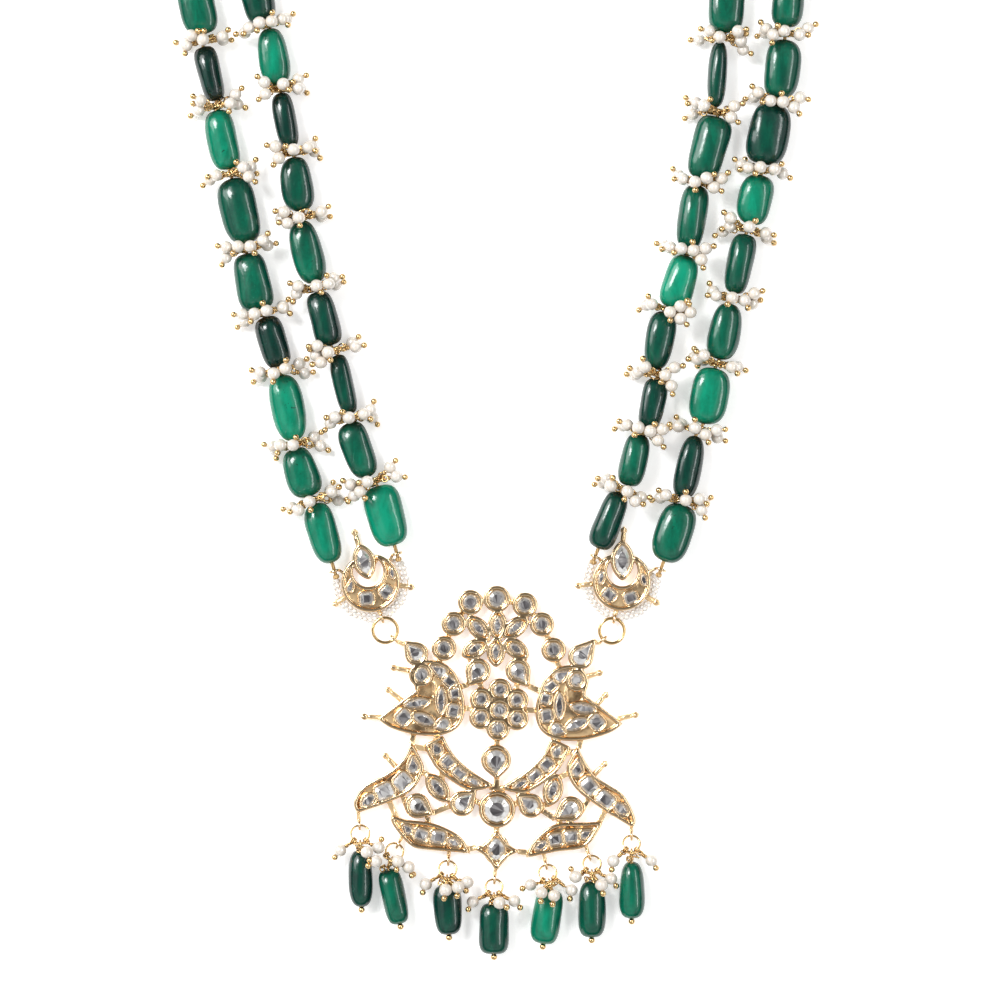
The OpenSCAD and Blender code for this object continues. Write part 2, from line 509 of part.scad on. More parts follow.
module crescent_2d(c) {
    difference() {
        translate(c[0]) circle(crescent_r);
        translate(c[1]) circle(crescent_hole_r);
        translate(c[1]) polygon([[0, 0], arc_point(12, c[4][0] + c[4][1]), arc_point(16, c[4][0]),
            arc_point(12, c[4][0] - c[4][1])]);
    }
    translate(c[2]) rotate(c[3][2]) polygon(marquise_outline(c[3][0], c[3][1], 16));
}

// The strand loop of a crescent stands past the end of the last bead
function strand_end(rows) = let (b = rows[len(rows) - 1]) [b[0], b[1]] + bead_axis(b[4]) * b[3] / 2;
function strand_loop(rows) =
    let (b = rows[len(rows) - 1], p = strand_end(rows) + bead_axis(b[4]) * loop_gap) [p.x, p.y, loop_z];
loop_gap = 2.2; // from the end of the last bead to the eyelet
loop_z = 3;
crescent_strands = [[left_outer, left_inner], [right_inner, right_outer]];

module strand_eyelet(c, rows) {
    at = strand_loop(rows);
    way = (c[0] - [at.x, at.y]) / norm(c[0] - [at.x, at.y]);
    axis = bead_axis(rows[len(rows) - 1][4]);
    side = [-axis.y, axis.x] * sign(-axis.y * way.x + axis.x * way.y);
    translate(at) rotate([90, 0, atan2(side.y, side.x)]) torus(strand_eye_r, eyelet_wire);
    rim = c[0] - way * (crescent_r - 0.7);
    rod([at.x + strand_eye_r * side.x, at.y + strand_eye_r * side.y, loop_z], [rim.x, rim.y, 1.7],
        strand_post_r);
}

module crescent(side) {
    c = crescents[side];
    ring = link_rings[side];
    color(gold) placed() {
        difference() {
            union() {
                linear_extrude(rim_h) crescent_2d(c);
                for (s = [-1, 1]) horn_bar(c, s);
            }
            translate([0, 0, floor_h]) linear_extrude(deep) for (row = crescent_rows(side)) seat(row);
        }
        for (s = crescent_stubs[side]) stub(s);
        link_eyelet(ring, ring[3], ring[4], ring[5]);
        for (rows = crescent_strands[side]) strand_eyelet(c, rows);
    }
}

// Bar of solder from the marquise to the tip of a horn, which lies 6 degrees past the open top
module horn_bar(c, s) {
    tip = c[1] + arc_point(crescent_hole_r + 0.8, c[4][0] + s * (c[4][1] + 6));
    start = c[2] + 0.35 * (c[1] - c[2]) - [s * 1.7, 0];
    bridge([start.x, start.y, tip.x, tip.y]);
}

module link_ring(side) color(gold) placed()
    translate([link_rings[side][0], link_rings[side][1], link_z]) torus(link_rings[side][2], link_wire);

module drop_ring(k) color(gold) placed() ring_frame(drops[k]) torus(ring_r(drops[k]), drop_ring_wire);

// Rings of a tumbled bead between its two mouths: share of the half width, share of the length
bead_rings = [[0.55, -0.485], [0.95, -0.26], [0.95, 0.26], [0.55, 0.485]];
bead_sides = 10;

function bead_ring(half_w, half_t, y) = [for (k = [0:bead_sides - 1])
    let (a = 360 * k / bead_sides) [half_w * cos(a), y, half_t * sin(a)]];

// A drilled bead of oval section that lies with its middle at half of its thickness
module bead(x, y, wid, len, lean, thick, bore) {
    rings = concat([bead_ring(bore / 2, bore / 2, -len / 2)],
        [for (r = bead_rings) bead_ring(r[0] * wid / 2, r[0] * thick / 2, r[1] * len)],
        [bead_ring(bore / 2, bore / 2, len / 2)]);
    n = len(rings);
    faces = [for (i = [0:n - 1], k = [0:bead_sides - 1])
        let (j = (i + 1) % n, m = (k + 1) % bead_sides)
        [i * bead_sides + k, i * bead_sides + m, j * bead_sides + m, j * bead_sides + k]];
    translate([x, y, thick / 2]) rotate(lean) polyhedron([for (r = rings) each r], faces);
}

module drop_bead(k) {
    d = drops[k];
    color(emerald) placed() bead(d[5], d[6], d[7], d[8], d[9], drop_t, drop_bore_d);
}

// Pin of a drop: loop on the ring, shaft through the bead and a ball under it
module drop_pin(k) {
    d = drops[k];
    down = bead_axis(d[9]);
    top = drop_top(d);
    foot = [d[5], d[6]] + down * (d[8] / 2 + foot_drop);
    neck_in = top + down * 0.1;
    color(gold) placed() {
        loop_on_ring(d, 0, pin_loop_r, pin_wire);
        rod(on_ring(d, ring_r(d) + pin_loop_r, 0), [neck_in.x, neck_in.y, drop_t / 2], pin_wire);
        translate([neck_in.x, neck_in.y, drop_t / 2]) sphere(pin_wire + 0.06, $fn = 24);
        rod([neck_in.x, neck_in.y, drop_t / 2], [foot.x, foot.y, drop_t / 2], pin_wire);
        translate([foot.x, foot.y, drop_t / 2]) sphere(d = ball_d, $fn = 32);
    }
}

// Round body at a point, with its poles across the plane of two directions and its seam along the first
module aimed_ball(at, d, seam, other, sides) {
    z = cross(seam, other) / norm(cross(seam, other));
    x = seam / norm(seam);
    y = cross(z, x);
    multmatrix([[x.x, y.x, z.x, at.x], [x.y, y.y, z.y, at.y], [x.z, y.z, z.z, at.z]])
        sphere(d = d, $fn = sides);
}

// Direction from a pearl to its gold ball, which rises a little on a pearl that rides high
function ball_way(at, turn) =
    let (rise = at.z > high_pearl ? 18 : 0) [cos(turn) * cos(rise), sin(turn) * cos(rise), sin(rise)];

// A pearl on its pin from the point start, with a gold ball past it
module pinned_pearl(start, at, turn) {
    translate(at) sphere(d = pearl_d, $fn = 56);
    translate(at + pearl_reach * ball_way(at, turn)) sphere(d = ball_d, $fn = 32);
    rod(start, at, pin_wire);
}

// The same with the seams of pearl and ball turned away from the pin
module aimed_pearl(start, at, turn) {
    out = ball_way(at, turn);
    back = (start - at) / norm(start - at);
    aimed_ball(at, pearl_d, -(out + back), out, 56);
    aimed_ball(at + pearl_reach * out, ball_d, out, [0, 0, 1], 32);
    rod(start, at, pin_wire);
}

// Pearls of one drop: two loops on the ring, a wire over it and a pin to each pearl
module drop_cluster(k) {
    d = drops[k];
    reach = ring_r(d) + saddle_r;
    ends = [for (s = [-1, 1]) on_ring(d, reach, s * saddle_turn)];
    for (s = [-1, 1]) loop_on_ring(d, s * saddle_turn, saddle_r, saddle_wire);
    over = (ends[0] + ends[1]) / 2 + [0, 0, saddle_rise];
    for (e = ends) rod(e, over, pin_wire);
    for (p = concat(ends, [over])) translate(p) sphere(knot_r, $fn = 32);
    for (row = drop_pearl_rows) if (row[0] == k + 1) {
        at = [row[1], row[2], row[3]];
        start = row[3] > 5 ? over : norm(at - ends[0]) < norm(at - ends[1]) ? ends[0] : ends[1];
        aimed_pearl(start, at, row[4]);
    }
}

module drop_pearls() color(pearl_white) placed() for (k = [0:len(drops) - 1]) drop_cluster(k);

// Beads of the hidden stretch, on an arc about the neck: side is -1 on the left and 1 on the right
function from_top(side, v) = atan2(side * v.x, v.y);

function hidden_rows(first, side, count, clasp_r) =
    let (v = [first[0], first[1]] - neck, r0 = norm(v), turn = 180 / PI,
        start = from_top(side, v) - (first[3] / 2 + bead_gap / 2) / r0 * turn,
        stop = asin((clasp_w / 2 + clasp_gap) / clasp_r), pitch = (start - stop) / count)
    [for (k = [count - 1:-1:0])
        let (a = start - (k + 0.5) * pitch, r = r0 + (clasp_r - r0) * (k + 0.5) / count)
        [neck.x + side * r * sin(a), neck.y + r * cos(a), hidden_widths[k],
            pitch / turn * r - bead_gap, atan2(side * cos(a), sin(a))]];

strands = [
    concat(hidden_rows(left_outer[0], -1, hidden_outer, outer_r), left_outer),
    concat(hidden_rows(left_inner[0], -1, hidden_inner, inner_r), left_inner),
    concat(hidden_rows(right_inner[0], 1, hidden_inner, inner_r), right_inner),
    concat(hidden_rows(right_outer[0], 1, hidden_outer, outer_r), right_outer)
];
strand_sides = [-1, -1, 1, 1];
strand_radii = [outer_r, inner_r, inner_r, outer_r];

module strand_beads(s) color(emerald) placed()
    for (b = strands[s]) bead(b[0], b[1], b[2], b[3], b[4], bead_t, bore_d);

function flat_point(p, z) = [p.x, p.y, z];

// Centre line and radius of a thread, from the clasp through the beads to a knot at the crescent
function thread_points(s) =
    let (rows = strands[s], at = strand_loop(rows), last = rows[len(rows) - 1],
        way = bead_axis(last[4]), x = neck.x + strand_sides[s] * clasp_w / 2,
        y = neck.y + strand_radii[s], r = thread_d / 2)
    concat(
        [[[x - strand_sides[s] * 2.5, y, thread_z], r], [[x, y, thread_z], r]],
        [for (b = rows, e = [-1, 1])
            [flat_point([b[0], b[1]] + bead_axis(b[4]) * (b[3] / 2 + 0.1) * e, thread_z), r]],
        [for (k = [[0, r], [0.9, r], [1.1, 0.8], [1.8, 0.8], [2.1, 0.3]])
            [at + [way.x, way.y, 0] * k[0], k[1]]]);

// Tube of six sides along a row of centres and radii
module tube(rows, sides = 6) {
    n = len(rows);
    points = [for (i = [0:n - 1])
        let (a = rows[max(i - 1, 0)][0], b = rows[min(i + 1, n - 1)][0], d = b - a,
            u = [-d.y, d.x, 0] / norm([d.x, d.y]), v = cross(d / norm(d), u))
        for (k = [0:sides - 1]) let (turn = 360 * k / sides)
            rows[i][0] + rows[i][1] * (u * cos(turn) + v * sin(turn))];
    walls = [for (i = [0:n - 2], k = [0:sides - 1])
        let (a = i * sides, m = (k + 1) % sides)
        each [[a + k, a + sides + m, a + m], [a + k, a + sides + k, a + sides + m]]];
    polyhedron(points, concat([[for (k = [0:sides - 1]) k]], walls,
        [[for (k = [sides - 1:-1:0]) (n - 1) * sides + k]]));
}

module strand_thread(s) color(gold) placed() tube(thread_points(s));

// Pearl cluster between bead a and bead b: a wire loop round the thread with six pinned pearls.
// On the side that faces the other strand the pearls of one strand lie low and of the other high.
module cluster(a, b, pattern, flip, facing, level) {
    foot = [a[0], a[1]] + bead_axis(a[4]) * a[3] / 2;
    head = [b[0], b[1]] - bead_axis(b[4]) * b[3] / 2;
    mid = (foot + head) / 2;
    lean = (a[4] + b[4]) / 2;
    offset = abs((head - foot) * [cos(lean), sin(lean)]) / 2;
    edge = max(a[2], b[2]) / 2 + offset + bead_clear;
    translate([mid.x, mid.y, 0]) rotate(lean) {
        translate([0, 0, thread_z]) rotate([90, 90, 0]) torus(hub_r, hub_wire);
        for (p = pattern) {
            side = flip * p[0];
            across = p[0] == 0 ? flip * p[1] : side * (edge + p[1] * (side == facing ? 0.6 : 1));
            at = [across, p[2], side == facing ? level + facing_rise * p[2] : p[3]];
            turn = flip > 0 ? p[4] : 180 - p[4];
            pinned_pearl([flip * hub_r * cos(p[5]), 0, thread_z + hub_r * sin(p[5])], at, turn);
        }
    }
}

module strand_pearls(s) color(pearl_white) placed()
    for (i = [0:len(strands[s]) - 2])
        cluster(strands[s][i], strands[s][i + 1], cluster_patterns[(i + s) % 4], i % 3 == 1 ? -1 : 1,
            s % 2 == 0 ? 1 : -1, strand_radii[s] == outer_r ? 1.9 : 5.3);

// Plain two-row clasp bar with a blind bore for each thread
clasp_end = 4.5; // from a thread to the end of the bar
clasp_bore = 3;
module clasp() {
    low = neck.y + inner_r - clasp_end;
    high = neck.y + outer_r + clasp_end;
    color(gold) placed() difference() {
        translate([neck.x - clasp_w / 2, low, 0.2]) cube([clasp_w, high - low, clasp_h - 0.2]);
        for (s = [-1, 1], r = [inner_r, outer_r])
            translate([neck.x + s * (clasp_w / 2 - clasp_bore), neck.y + r, thread_z])
                rotate([0, s * 90, 0]) cylinder(d = bore_d, h = clasp_bore + 1, $fn = 32);
    }
}

module left_bird_stones()
    stones(concat(left_bird_set, round_rows([eye_rounds[0]]), pear_rows([leaf_pears[0]])));

module right_bird_stones() {
    stones(concat(round_rows([eye_rounds[1]]), pear_rows([leaf_pears[1]])));
    mirrored_stones(left_bird_set, right_bird_shift);
}

module petal_stones() stones(concat(pear_rows(petal_pears), marquise_rows(petal_marquises)));

pendant_frame();
stones(round_rows(arch_rounds));  // arch_stones
stones(marquise_rows(star_marquises));  // star_stones
stones(round_rows(rosette_rounds));  // rosette_stones
stones(pear_rows(upper_pears));  // upper_pear_stones
left_bird_stones();
right_bird_stones();
stones(left_sash_set);  // left_sash_stones
mirrored_stones(left_sash_set, right_sash_shift);  // right_sash_stones
stones(left_leaf_set);  // left_leaf_stones
stones(right_leaf_set);  // right_leaf_stones
petal_stones();
stones(left_base_set);  // left_base_stones
stones(right_base_set);  // right_base_stones
stones(pear_rows([centre_pear]));  // centre_pear_stone
stones(round_rows([centre_round]));  // centre_round_stone
stones(base_rows);  // base_stone
crescent(0);  // left_crescent
crescent(1);  // right_crescent
stones(crescent_rows(0));  // left_crescent_stones
stones(crescent_rows(1));  // right_crescent_stones
link_ring(0);  // left_link_ring
link_ring(1);  // right_link_ring
drop_ring(0);  // drop_ring_1
drop_ring(1);  // drop_ring_2
drop_ring(2);  // drop_ring_3
drop_ring(3);  // drop_ring_4
drop_ring(4);  // drop_ring_5
drop_ring(5);  // drop_ring_6
drop_ring(6);  // drop_ring_7
drop_bead(0);  // drop_bead_1
drop_bead(1);  // drop_bead_2
drop_bead(2);  // drop_bead_3
drop_bead(3);  // drop_bead_4
drop_bead(4);  // drop_bead_5
drop_bead(5);  // drop_bead_6
drop_bead(6);  // drop_bead_7
drop_pin(0);  // drop_pin_1
drop_pin(1);  // drop_pin_2
drop_pin(2);  // drop_pin_3
drop_pin(3);  // drop_pin_4
drop_pin(4);  // drop_pin_5
drop_pin(5);  // drop_pin_6
drop_pin(6);  // drop_pin_7
drop_pearls();
strand_beads(0);  // left_outer_beads
strand_beads(1);  // left_inner_beads
strand_beads(2);  // right_inner_beads
strand_beads(3);  // right_outer_beads
strand_thread(0);  // left_outer_thread
strand_thread(1);  // left_inner_thread
strand_thread(2);  // right_inner_thread
strand_thread(3);  // right_outer_thread
strand_pearls(0);  // left_outer_pearls
strand_pearls(1);  // left_inner_pearls
strand_pearls(2);  // right_inner_pearls
strand_pearls(3);  // right_outer_pearls
clasp();
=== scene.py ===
import math
import random
import bmesh
import bpy
import numpy as np
from mathutils import Matrix, Vector


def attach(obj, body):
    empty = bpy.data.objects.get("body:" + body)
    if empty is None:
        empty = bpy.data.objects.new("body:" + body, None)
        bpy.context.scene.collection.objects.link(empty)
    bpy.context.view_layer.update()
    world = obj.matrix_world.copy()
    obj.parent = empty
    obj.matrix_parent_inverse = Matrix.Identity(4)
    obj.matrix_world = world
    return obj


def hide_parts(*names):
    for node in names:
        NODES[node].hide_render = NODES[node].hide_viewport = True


norm = np.linalg.norm
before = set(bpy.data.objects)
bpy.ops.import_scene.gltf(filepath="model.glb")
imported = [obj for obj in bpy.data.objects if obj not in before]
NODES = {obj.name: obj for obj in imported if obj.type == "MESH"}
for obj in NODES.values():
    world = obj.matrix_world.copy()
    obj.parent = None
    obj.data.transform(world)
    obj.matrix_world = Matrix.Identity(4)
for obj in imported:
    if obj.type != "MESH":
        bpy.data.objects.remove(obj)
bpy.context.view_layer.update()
MM = 0.001
# Middle of the necklace in the plan's millimetres: X right, Y up, drawn from the pendant
MIDDLE = np.array([-1.9, 105.56, 0.0])
SEED = 41

# Camera, straight above the pendant and the lower strands
VIEW_MIDDLE = (0.5, 55.0)
VIEW_WIDTH = 250.0
CAMERA_HEIGHT = 1100.0
FOCUS_HEIGHT = 3.0


def place(p):
    """Metres in the frame for a point of the plan, in millimetres."""
    return (np.asarray(p, float) - MIDDLE) * MM


def cos_sin(degrees):
    a = math.radians(degrees)
    return math.cos(a), math.sin(a)


def linked(name, data):
    """A new object in the scene."""
    obj = bpy.data.objects.new(name, data)
    bpy.context.scene.collection.objects.link(obj)
    return obj


def hand_over(obj, replaced):
    """Put a finished piece on the root body, in the place of the named nodes."""
    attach(obj, "root")
    if replaced:
        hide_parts(*replaced)


camera_data = bpy.data.cameras.new("camera")
camera = linked("camera", camera_data)
camera.location = place((*VIEW_MIDDLE, CAMERA_HEIGHT))
camera_data.lens = camera_data.sensor_width * (CAMERA_HEIGHT - FOCUS_HEIGHT) / VIEW_WIDTH
bpy.context.scene.camera = camera


def feed(node, inputs):
    """Fill a node's inputs, by name or number: sockets are linked, numbers and colours are set."""
    for key, value in inputs.items():
        socket = node.inputs[key]
        if isinstance(value, bpy.types.NodeSocket):
            node.id_data.links.new(value, socket)
        elif socket.type == "RGBA":
            socket.default_value = (*value, 1.0)
        else:
            socket.default_value = value


def fresh_tree(owner, output, kind):
    """The owner's emptied node tree, and a new shader joined to its output."""
    owner.use_nodes = True
    tree = owner.node_tree
    tree.nodes.clear()
    shader = tree.nodes.new(kind)
    feed(tree.nodes.new(output), {"Surface": shader.outputs[0]})
    return tree, shader


def new_material(name):
    material = bpy.data.materials.new(name)
    return material, *fresh_tree(material, "ShaderNodeOutputMaterial", "ShaderNodeBsdfPrincipled")


# Each of these adds a node to a tree, or to the tree of a socket that it is given
def object_place(tree):
    return tree.nodes.new("ShaderNodeTexCoord").outputs["Object"]


def noise(tree, scale, detail=2.0, rough=0.5, distortion=0.0, vector=None):
    n = tree.nodes.new("ShaderNodeTexNoise")
    feed(n, {"Scale": scale, "Detail": detail, "Roughness": rough, "Distortion": distortion,
             "Vector": vector or object_place(tree)})
    return n.outputs["Fac"]


def tint_parts(tree):
    """The three parts of the colour that Shape keeps at each point."""
    n = tree.nodes.new("ShaderNodeAttribute")
    n.attribute_name = "tint"
    split = tree.nodes.new("ShaderNodeSeparateColor")
    feed(split, {"Color": n.outputs["Color"]})
    return split.outputs


def split_xyz(vector):
    n = vector.id_data.nodes.new("ShaderNodeSeparateXYZ")
    feed(n, {"Vector": vector})
    return n.outputs


def ramp(value, stops):
    """Colours by the value. A stop is a place with a colour, or with one number for a grey."""
    n = value.id_data.nodes.new("ShaderNodeValToRGB")
    elements = n.color_ramp.elements
    while len(elements) < len(stops):
        elements.new(0.5)
    for e, (at, colour) in zip(elements, stops):
        e.position = at
        e.color = (*colour, 1.0) if isinstance(colour, tuple) else (colour, colour, colour, 1.0)
    feed(n, {"Fac": value})
    return n.outputs["Color"]


def maths(operation, *values, clamp=False):
    n = values[0].id_data.nodes.new("ShaderNodeMath")
    n.operation = operation
    n.use_clamp = clamp
    feed(n, dict(enumerate(values)))
    return n.outputs[0]


def graded(value, slope, start):
    """The value times the slope, plus the start, held between 0 and 1."""
    return maths("MULTIPLY_ADD", value, slope, start, clamp=True)


def mix(factor, a, b, share=1.0):
    """From colour a to colour b by the factor's share."""
    n = factor.id_data.nodes.new("ShaderNodeMix")
    n.data_type = "RGBA"
    feed(n, {0: maths("MULTIPLY", factor, share), 6: a, 7: b})
    return n.outputs[2]


def spread(value, low, high):
    """The value, 0 to 1, carried to the stretch from low to high."""
    n = value.id_data.nodes.new("ShaderNodeMapRange")
    feed(n, {"To Min": low, "To Max": high, "Value": value})
    return n.outputs["Result"]


def bump(shader, height, strength, distance):
    n = height.id_data.nodes.new("ShaderNodeBump")
    feed(n, {"Strength": strength, "Distance": distance, "Height": height})
    feed(shader, {"Normal": n.outputs["Normal"]})


# Gold lower than FIELD_TOP metres is a field between rims, and FIELD_FADE sets how sharply it begins.
# FIELD_LIGHT_GOLD is the colour of the painted light on the fields' patches
FIELD_TOP, FIELD_FADE, FIELD_LIGHT_GOLD = 0.00218, 5000.0, (1.0, 0.72, 0.39)


def scaled(colour, factor):
    return tuple(c * factor for c in colour)


def gold_material(name, bright, deep, ripple, field_ripple, rough):
    """Polished champagne gold with painted shade and light: deeper in its hollows and grooves, darker on
    walls, lighter on ridges. Fields below the rims ripple and carry patches of painted light.
    """
    material, tree, shader = new_material(name)
    cloud = noise(tree, 230.0, 3.0)
    geometry = tree.nodes.new("ShaderNodeNewGeometry")
    hollow = geometry.outputs["Pointiness"]
    facing_up = maths("ABSOLUTE", split_xyz(geometry.outputs["Normal"])["Z"])
    # Painted shade: the more walls turn from facing up, the more they go towards a darker copy of the deep
    # colour
    wall_shade = graded(facing_up, -1.7, 1.1)
    # Painted shade and light: by pointiness, hollows pull the tone towards the deep colour and ridges
    # towards the bright one, over random clouds of tone
    edge = graded(hollow, 6.0, -2.6)
    tone = maths("MULTIPLY_ADD", cloud, 0.8, edge)
    tone = maths("SUBTRACT", tone, 0.38, clamp=True)
    colour = ramp(tone, [(0.0, deep), (0.4, bright), (1.0, tuple(min(1.0, c * 1.06) for c in bright))])
    # Painted shade: tight hollows and grooves go to a dark copy of the deep colour, as dark lines
    groove_shade = graded(hollow, -15.0, 7.2)
    colour = mix(groove_shade, colour, scaled(deep, 0.3), 0.85)
    colour = mix(wall_shade, colour, scaled(deep, 0.62), 0.75)
    metallic = 1.0
    if ripple:
        height = split_xyz(object_place(tree))["Z"]
        below = graded(height, -FIELD_FADE, FIELD_FADE * FIELD_TOP)
        # Painted light: random patches of the sunk fields are lighter and less metallic, and kept off the
        # painted groove shade
        patch = graded(cloud, 5.0, -1.8)
        field_light_patch = maths("MULTIPLY", below, maths("SUBTRACT", patch, groove_shade, clamp=True))
        metallic = maths("MULTIPLY_ADD", field_light_patch, -0.4, 1.0)
        colour = mix(field_light_patch, colour, FIELD_LIGHT_GOLD, 0.8)
        amount = maths("MULTIPLY_ADD", below, field_ripple - ripple, ripple)
        waves = maths("MULTIPLY", noise(tree, 520.0, 1.5, 0.4, 0.4), amount)
        bump(shader, waves, 1.0, 0.0004)
    gloss = spread(noise(tree, 900.0, 2.0), rough * 0.6, rough * 1.5)
    feed(shader, {"Base Color": colour, "Metallic": metallic, "Roughness": gloss})
    return material


def emerald_material():
    """Dyed stone: the attribute holds the bead's own shade, a painted glow of light in its middle and a
    random share.
    """
    material, tree, shader = new_material("emerald_bead_stone")
    shade, painted_glow, chance = tint_parts(tree)[:3]
    stretch = tree.nodes.new("ShaderNodeMapping")
    feed(stretch, {"Scale": (1.3, 0.42, 1.3), "Vector": object_place(tree)})
    drawn_out = stretch.outputs["Vector"]
    clouds = noise(tree, 260.0, 4.0, 0.6, 0.7, drawn_out)
    grain = noise(tree, 1500.0, 3.0, 0.6)
    # Painted light: the glow brightens each bead's middle
    value = maths("MULTIPLY_ADD", clouds, 0.72, maths("MULTIPLY_ADD", painted_glow, 0.3, shade))
    value = maths("MULTIPLY_ADD", grain, 0.16, value)
    value = maths("SUBTRACT", value, 0.64, clamp=True)
    colour = ramp(value, [
        (0.0, (0.001, 0.015, 0.012)), (0.22, (0.0, 0.036, 0.025)), (0.5, (0.0, 0.08, 0.046)),
        (0.75, (0.0, 0.16, 0.088)), (1.0, (0.002, 0.27, 0.155))])
    flaws = maths("GREATER_THAN", noise(tree, 420.0, 5.0, 0.65, 1.4), 0.665)
    flaws = maths("MULTIPLY", flaws, maths("GREATER_THAN", chance, 0.55))
    colour = mix(flaws, colour, (0.003, 0.014, 0.013), 0.7)
    veils = graded(noise(tree, 900.0, 5.0, 0.7, 1.0, drawn_out), 6.0, -3.75)
    colour = mix(veils, colour, (0.06, 0.3, 0.2), 0.4)
    feed(shader, {
        "Base Color": colour, "Roughness": spread(noise(tree, 500.0, 3.0), 0.08, 0.24), "IOR": 1.54,
        "Subsurface Weight": 0.06, "Subsurface Radius": (0.0004, 0.002, 0.0012)})
    bump(shader, noise(tree, 650.0, 3.0, 0.55), 0.1, 0.0004)
    return material


def pearl_material(name, colour, shadow):
    """Coated nacre with painted shade, darker on the sides and below, and some pearls warmer than others by
    their tint's chance.
    """
    material, tree, shader = new_material(name)
    chance = tint_parts(tree)[0]
    normal = tree.nodes.new("ShaderNodeNewGeometry").outputs["Normal"]
    # Painted shade: the colour goes towards the shadow colour as the surface turns away from facing up
    low = graded(split_xyz(normal)["Z"], -0.8, 0.72)
    base = mix(low, colour, shadow)
    warm = tuple(c * k for c, k in zip(colour, (0.96, 0.88, 0.76)))
    base = mix(chance, base, warm, 0.35)
    feed(shader, {
        "Base Color": base, "Roughness": spread(noise(tree, 900.0, 2.0), 0.24, 0.38),
        "Coat Weight": 1.0, "Coat IOR": 1.9, "Coat Roughness": 0.05,
        "Subsurface Weight": 0.1, "Subsurface Radius": (0.001, 0.0007, 0.0005)})
    bump(shader, noise(tree, 1400.0, 2.0), 0.04, 0.0002)
    return material


def kundan_material():
    """Flat-cut glass over silver foil, with painted reflections: bright facets round a darker, mirror-like
    table.
    """
    material, tree, shader = new_material("foiled_glass")
    geometry = tree.nodes.new("ShaderNodeNewGeometry")
    table = maths("GREATER_THAN", split_xyz(geometry.outputs["Normal"])["Z"], 0.985)
    foil = noise(tree, 1100.0, 4.0, 0.6, 0.8)
    chance = geometry.outputs["Random Per Island"]
    swirl = noise(tree, 300.0, 1.0, 0.4)
    cast = maths("MULTIPLY_ADD", chance, 0.5, maths("MULTIPLY", swirl, 0.9))
    # Painted reflection: facets get bright foil colours, and tables get greys that differ from stone to
    # stone and swirl
    bright = ramp(foil, [(0.34, (0.55, 0.52, 0.48)), (0.46, (0.92, 0.91, 0.89)), (0.62, 1.0)])
    grey = ramp(cast, [
        (0.42, (0.1, 0.095, 0.1)), (0.62, (0.21, 0.2, 0.21)), (0.82, (0.4, 0.39, 0.4)),
        (0.94, (0.75, 0.74, 0.74))])
    bump(shader, maths("MULTIPLY", swirl, table), 0.7, 0.0009)
    feed(shader, {
        "Base Color": mix(table, bright, grey), "Roughness": spread(foil, 0.04, 0.16),
        "Metallic": maths("MULTIPLY_ADD", table, -0.25, 0.72),
        "Coat Weight": 1.0, "Coat Roughness": 0.02})
    return material


def cord_material():
    """Twisted gilt thread."""
    material, tree, shader = new_material("gold_cord")
    twist = tree.nodes.new("ShaderNodeTexWave")
    feed(twist, {"Scale": 700.0, "Distortion": 2.0, "Vector": object_place(tree)})
    colour = ramp(twist.outputs["Fac"], [(0.0, (0.25, 0.13, 0.04)), (1.0, (0.8, 0.55, 0.25))])
    feed(shader, {"Base Color": colour, "Metallic": 0.6, "Roughness": 0.4})
    bump(shader, twist.outputs["Fac"], 0.5, 0.0002)
    return material


GOLD = gold_material("cast_gold", (0.84, 0.63, 0.39), (0.72, 0.4, 0.16), 0.16, 0.8, 0.09)
WIRE = gold_material("wire_gold", (0.74, 0.52, 0.25), (0.6, 0.33, 0.1), 0.0, 0.0, 0.1)
EMERALD = emerald_material()
PEARL = pearl_material("pearl_nacre", (0.78, 0.735, 0.675), (0.54, 0.47, 0.4))
SEED_PEARL = pearl_material("seed_pearl_nacre", (0.84, 0.81, 0.77), (0.62, 0.57, 0.52))
KUNDAN = kundan_material()
CORD = cord_material()


class Shape:
    """Points in the plan's millimetres, faces and a colour a point, gathered for one piece."""

    def __init__(self):
        self.points, self.faces, self.tints, self.count = [], [], [], 0

    def add(self, points, faces, tint=(0.5, 0.5, 0.5)):
        points = np.asarray(points, float)
        self.points.append(points)
        self.faces += [tuple(i + self.count for i in f) for f in faces]
        self.tints.append(np.broadcast_to(tint, (len(points), 3)))
        self.count += len(points)

    def piece(self, name, material, slot_name, replaced=()):
        mesh = bpy.data.meshes.new(name)
        points = place(np.concatenate(self.points))
        mesh.from_pydata(points.tolist(), [], self.faces)
        mesh.validate()
        mesh.shade_smooth()
        layer = mesh.attributes.new("tint", "FLOAT_COLOR", "POINT")
        colours = np.ones((len(points), 4))
        colours[:, :3] = np.concatenate(self.tints)
        layer.data.foreach_set("color", colours.ravel())
        mesh.materials.append(material)
        hand_over(linked(name, mesh), replaced)


def rings_mesh(rings, loop=False):
    """Quads between rings of equal count; loop joins the last ring to the first."""
    n, k = len(rings), len(rings[0])
    faces = []
    for i in range(n if loop else n - 1):
        j = (i + 1) % n
        for a in range(k):
            b = (a + 1) % k
            faces.append((i * k + a, i * k + b, j * k + b, j * k + a))
    return np.concatenate(rings), faces


def ball(shape, centre, radius, sides, squash=(1, 1, 1), tint=(0.5, 0.5, 0.5)):
    """A closed ball, squashed along X, Y and Z."""
    stacks = sides // 2
    turn = np.arange(sides) * 2 * math.pi / sides
    rings = []
    for t in np.arange(1, stacks) * math.pi / stacks:
        rings.append(np.column_stack([math.sin(t) * np.cos(turn), math.sin(t) * np.sin(turn),
                                      np.full(sides, -math.cos(t))]))
    points, faces = rings_mesh(rings)
    low, high = len(points), len(points) + 1
    points = np.vstack([points, [[0, 0, -1], [0, 0, 1]]])
    faces += [(low, (k + 1) % sides, k) for k in range(sides)]
    top = low - sides
    faces += [(high, top + k, top + (k + 1) % sides) for k in range(sides)]
    shape.add(points * radius * np.array(squash) + np.asarray(centre), faces, tint)


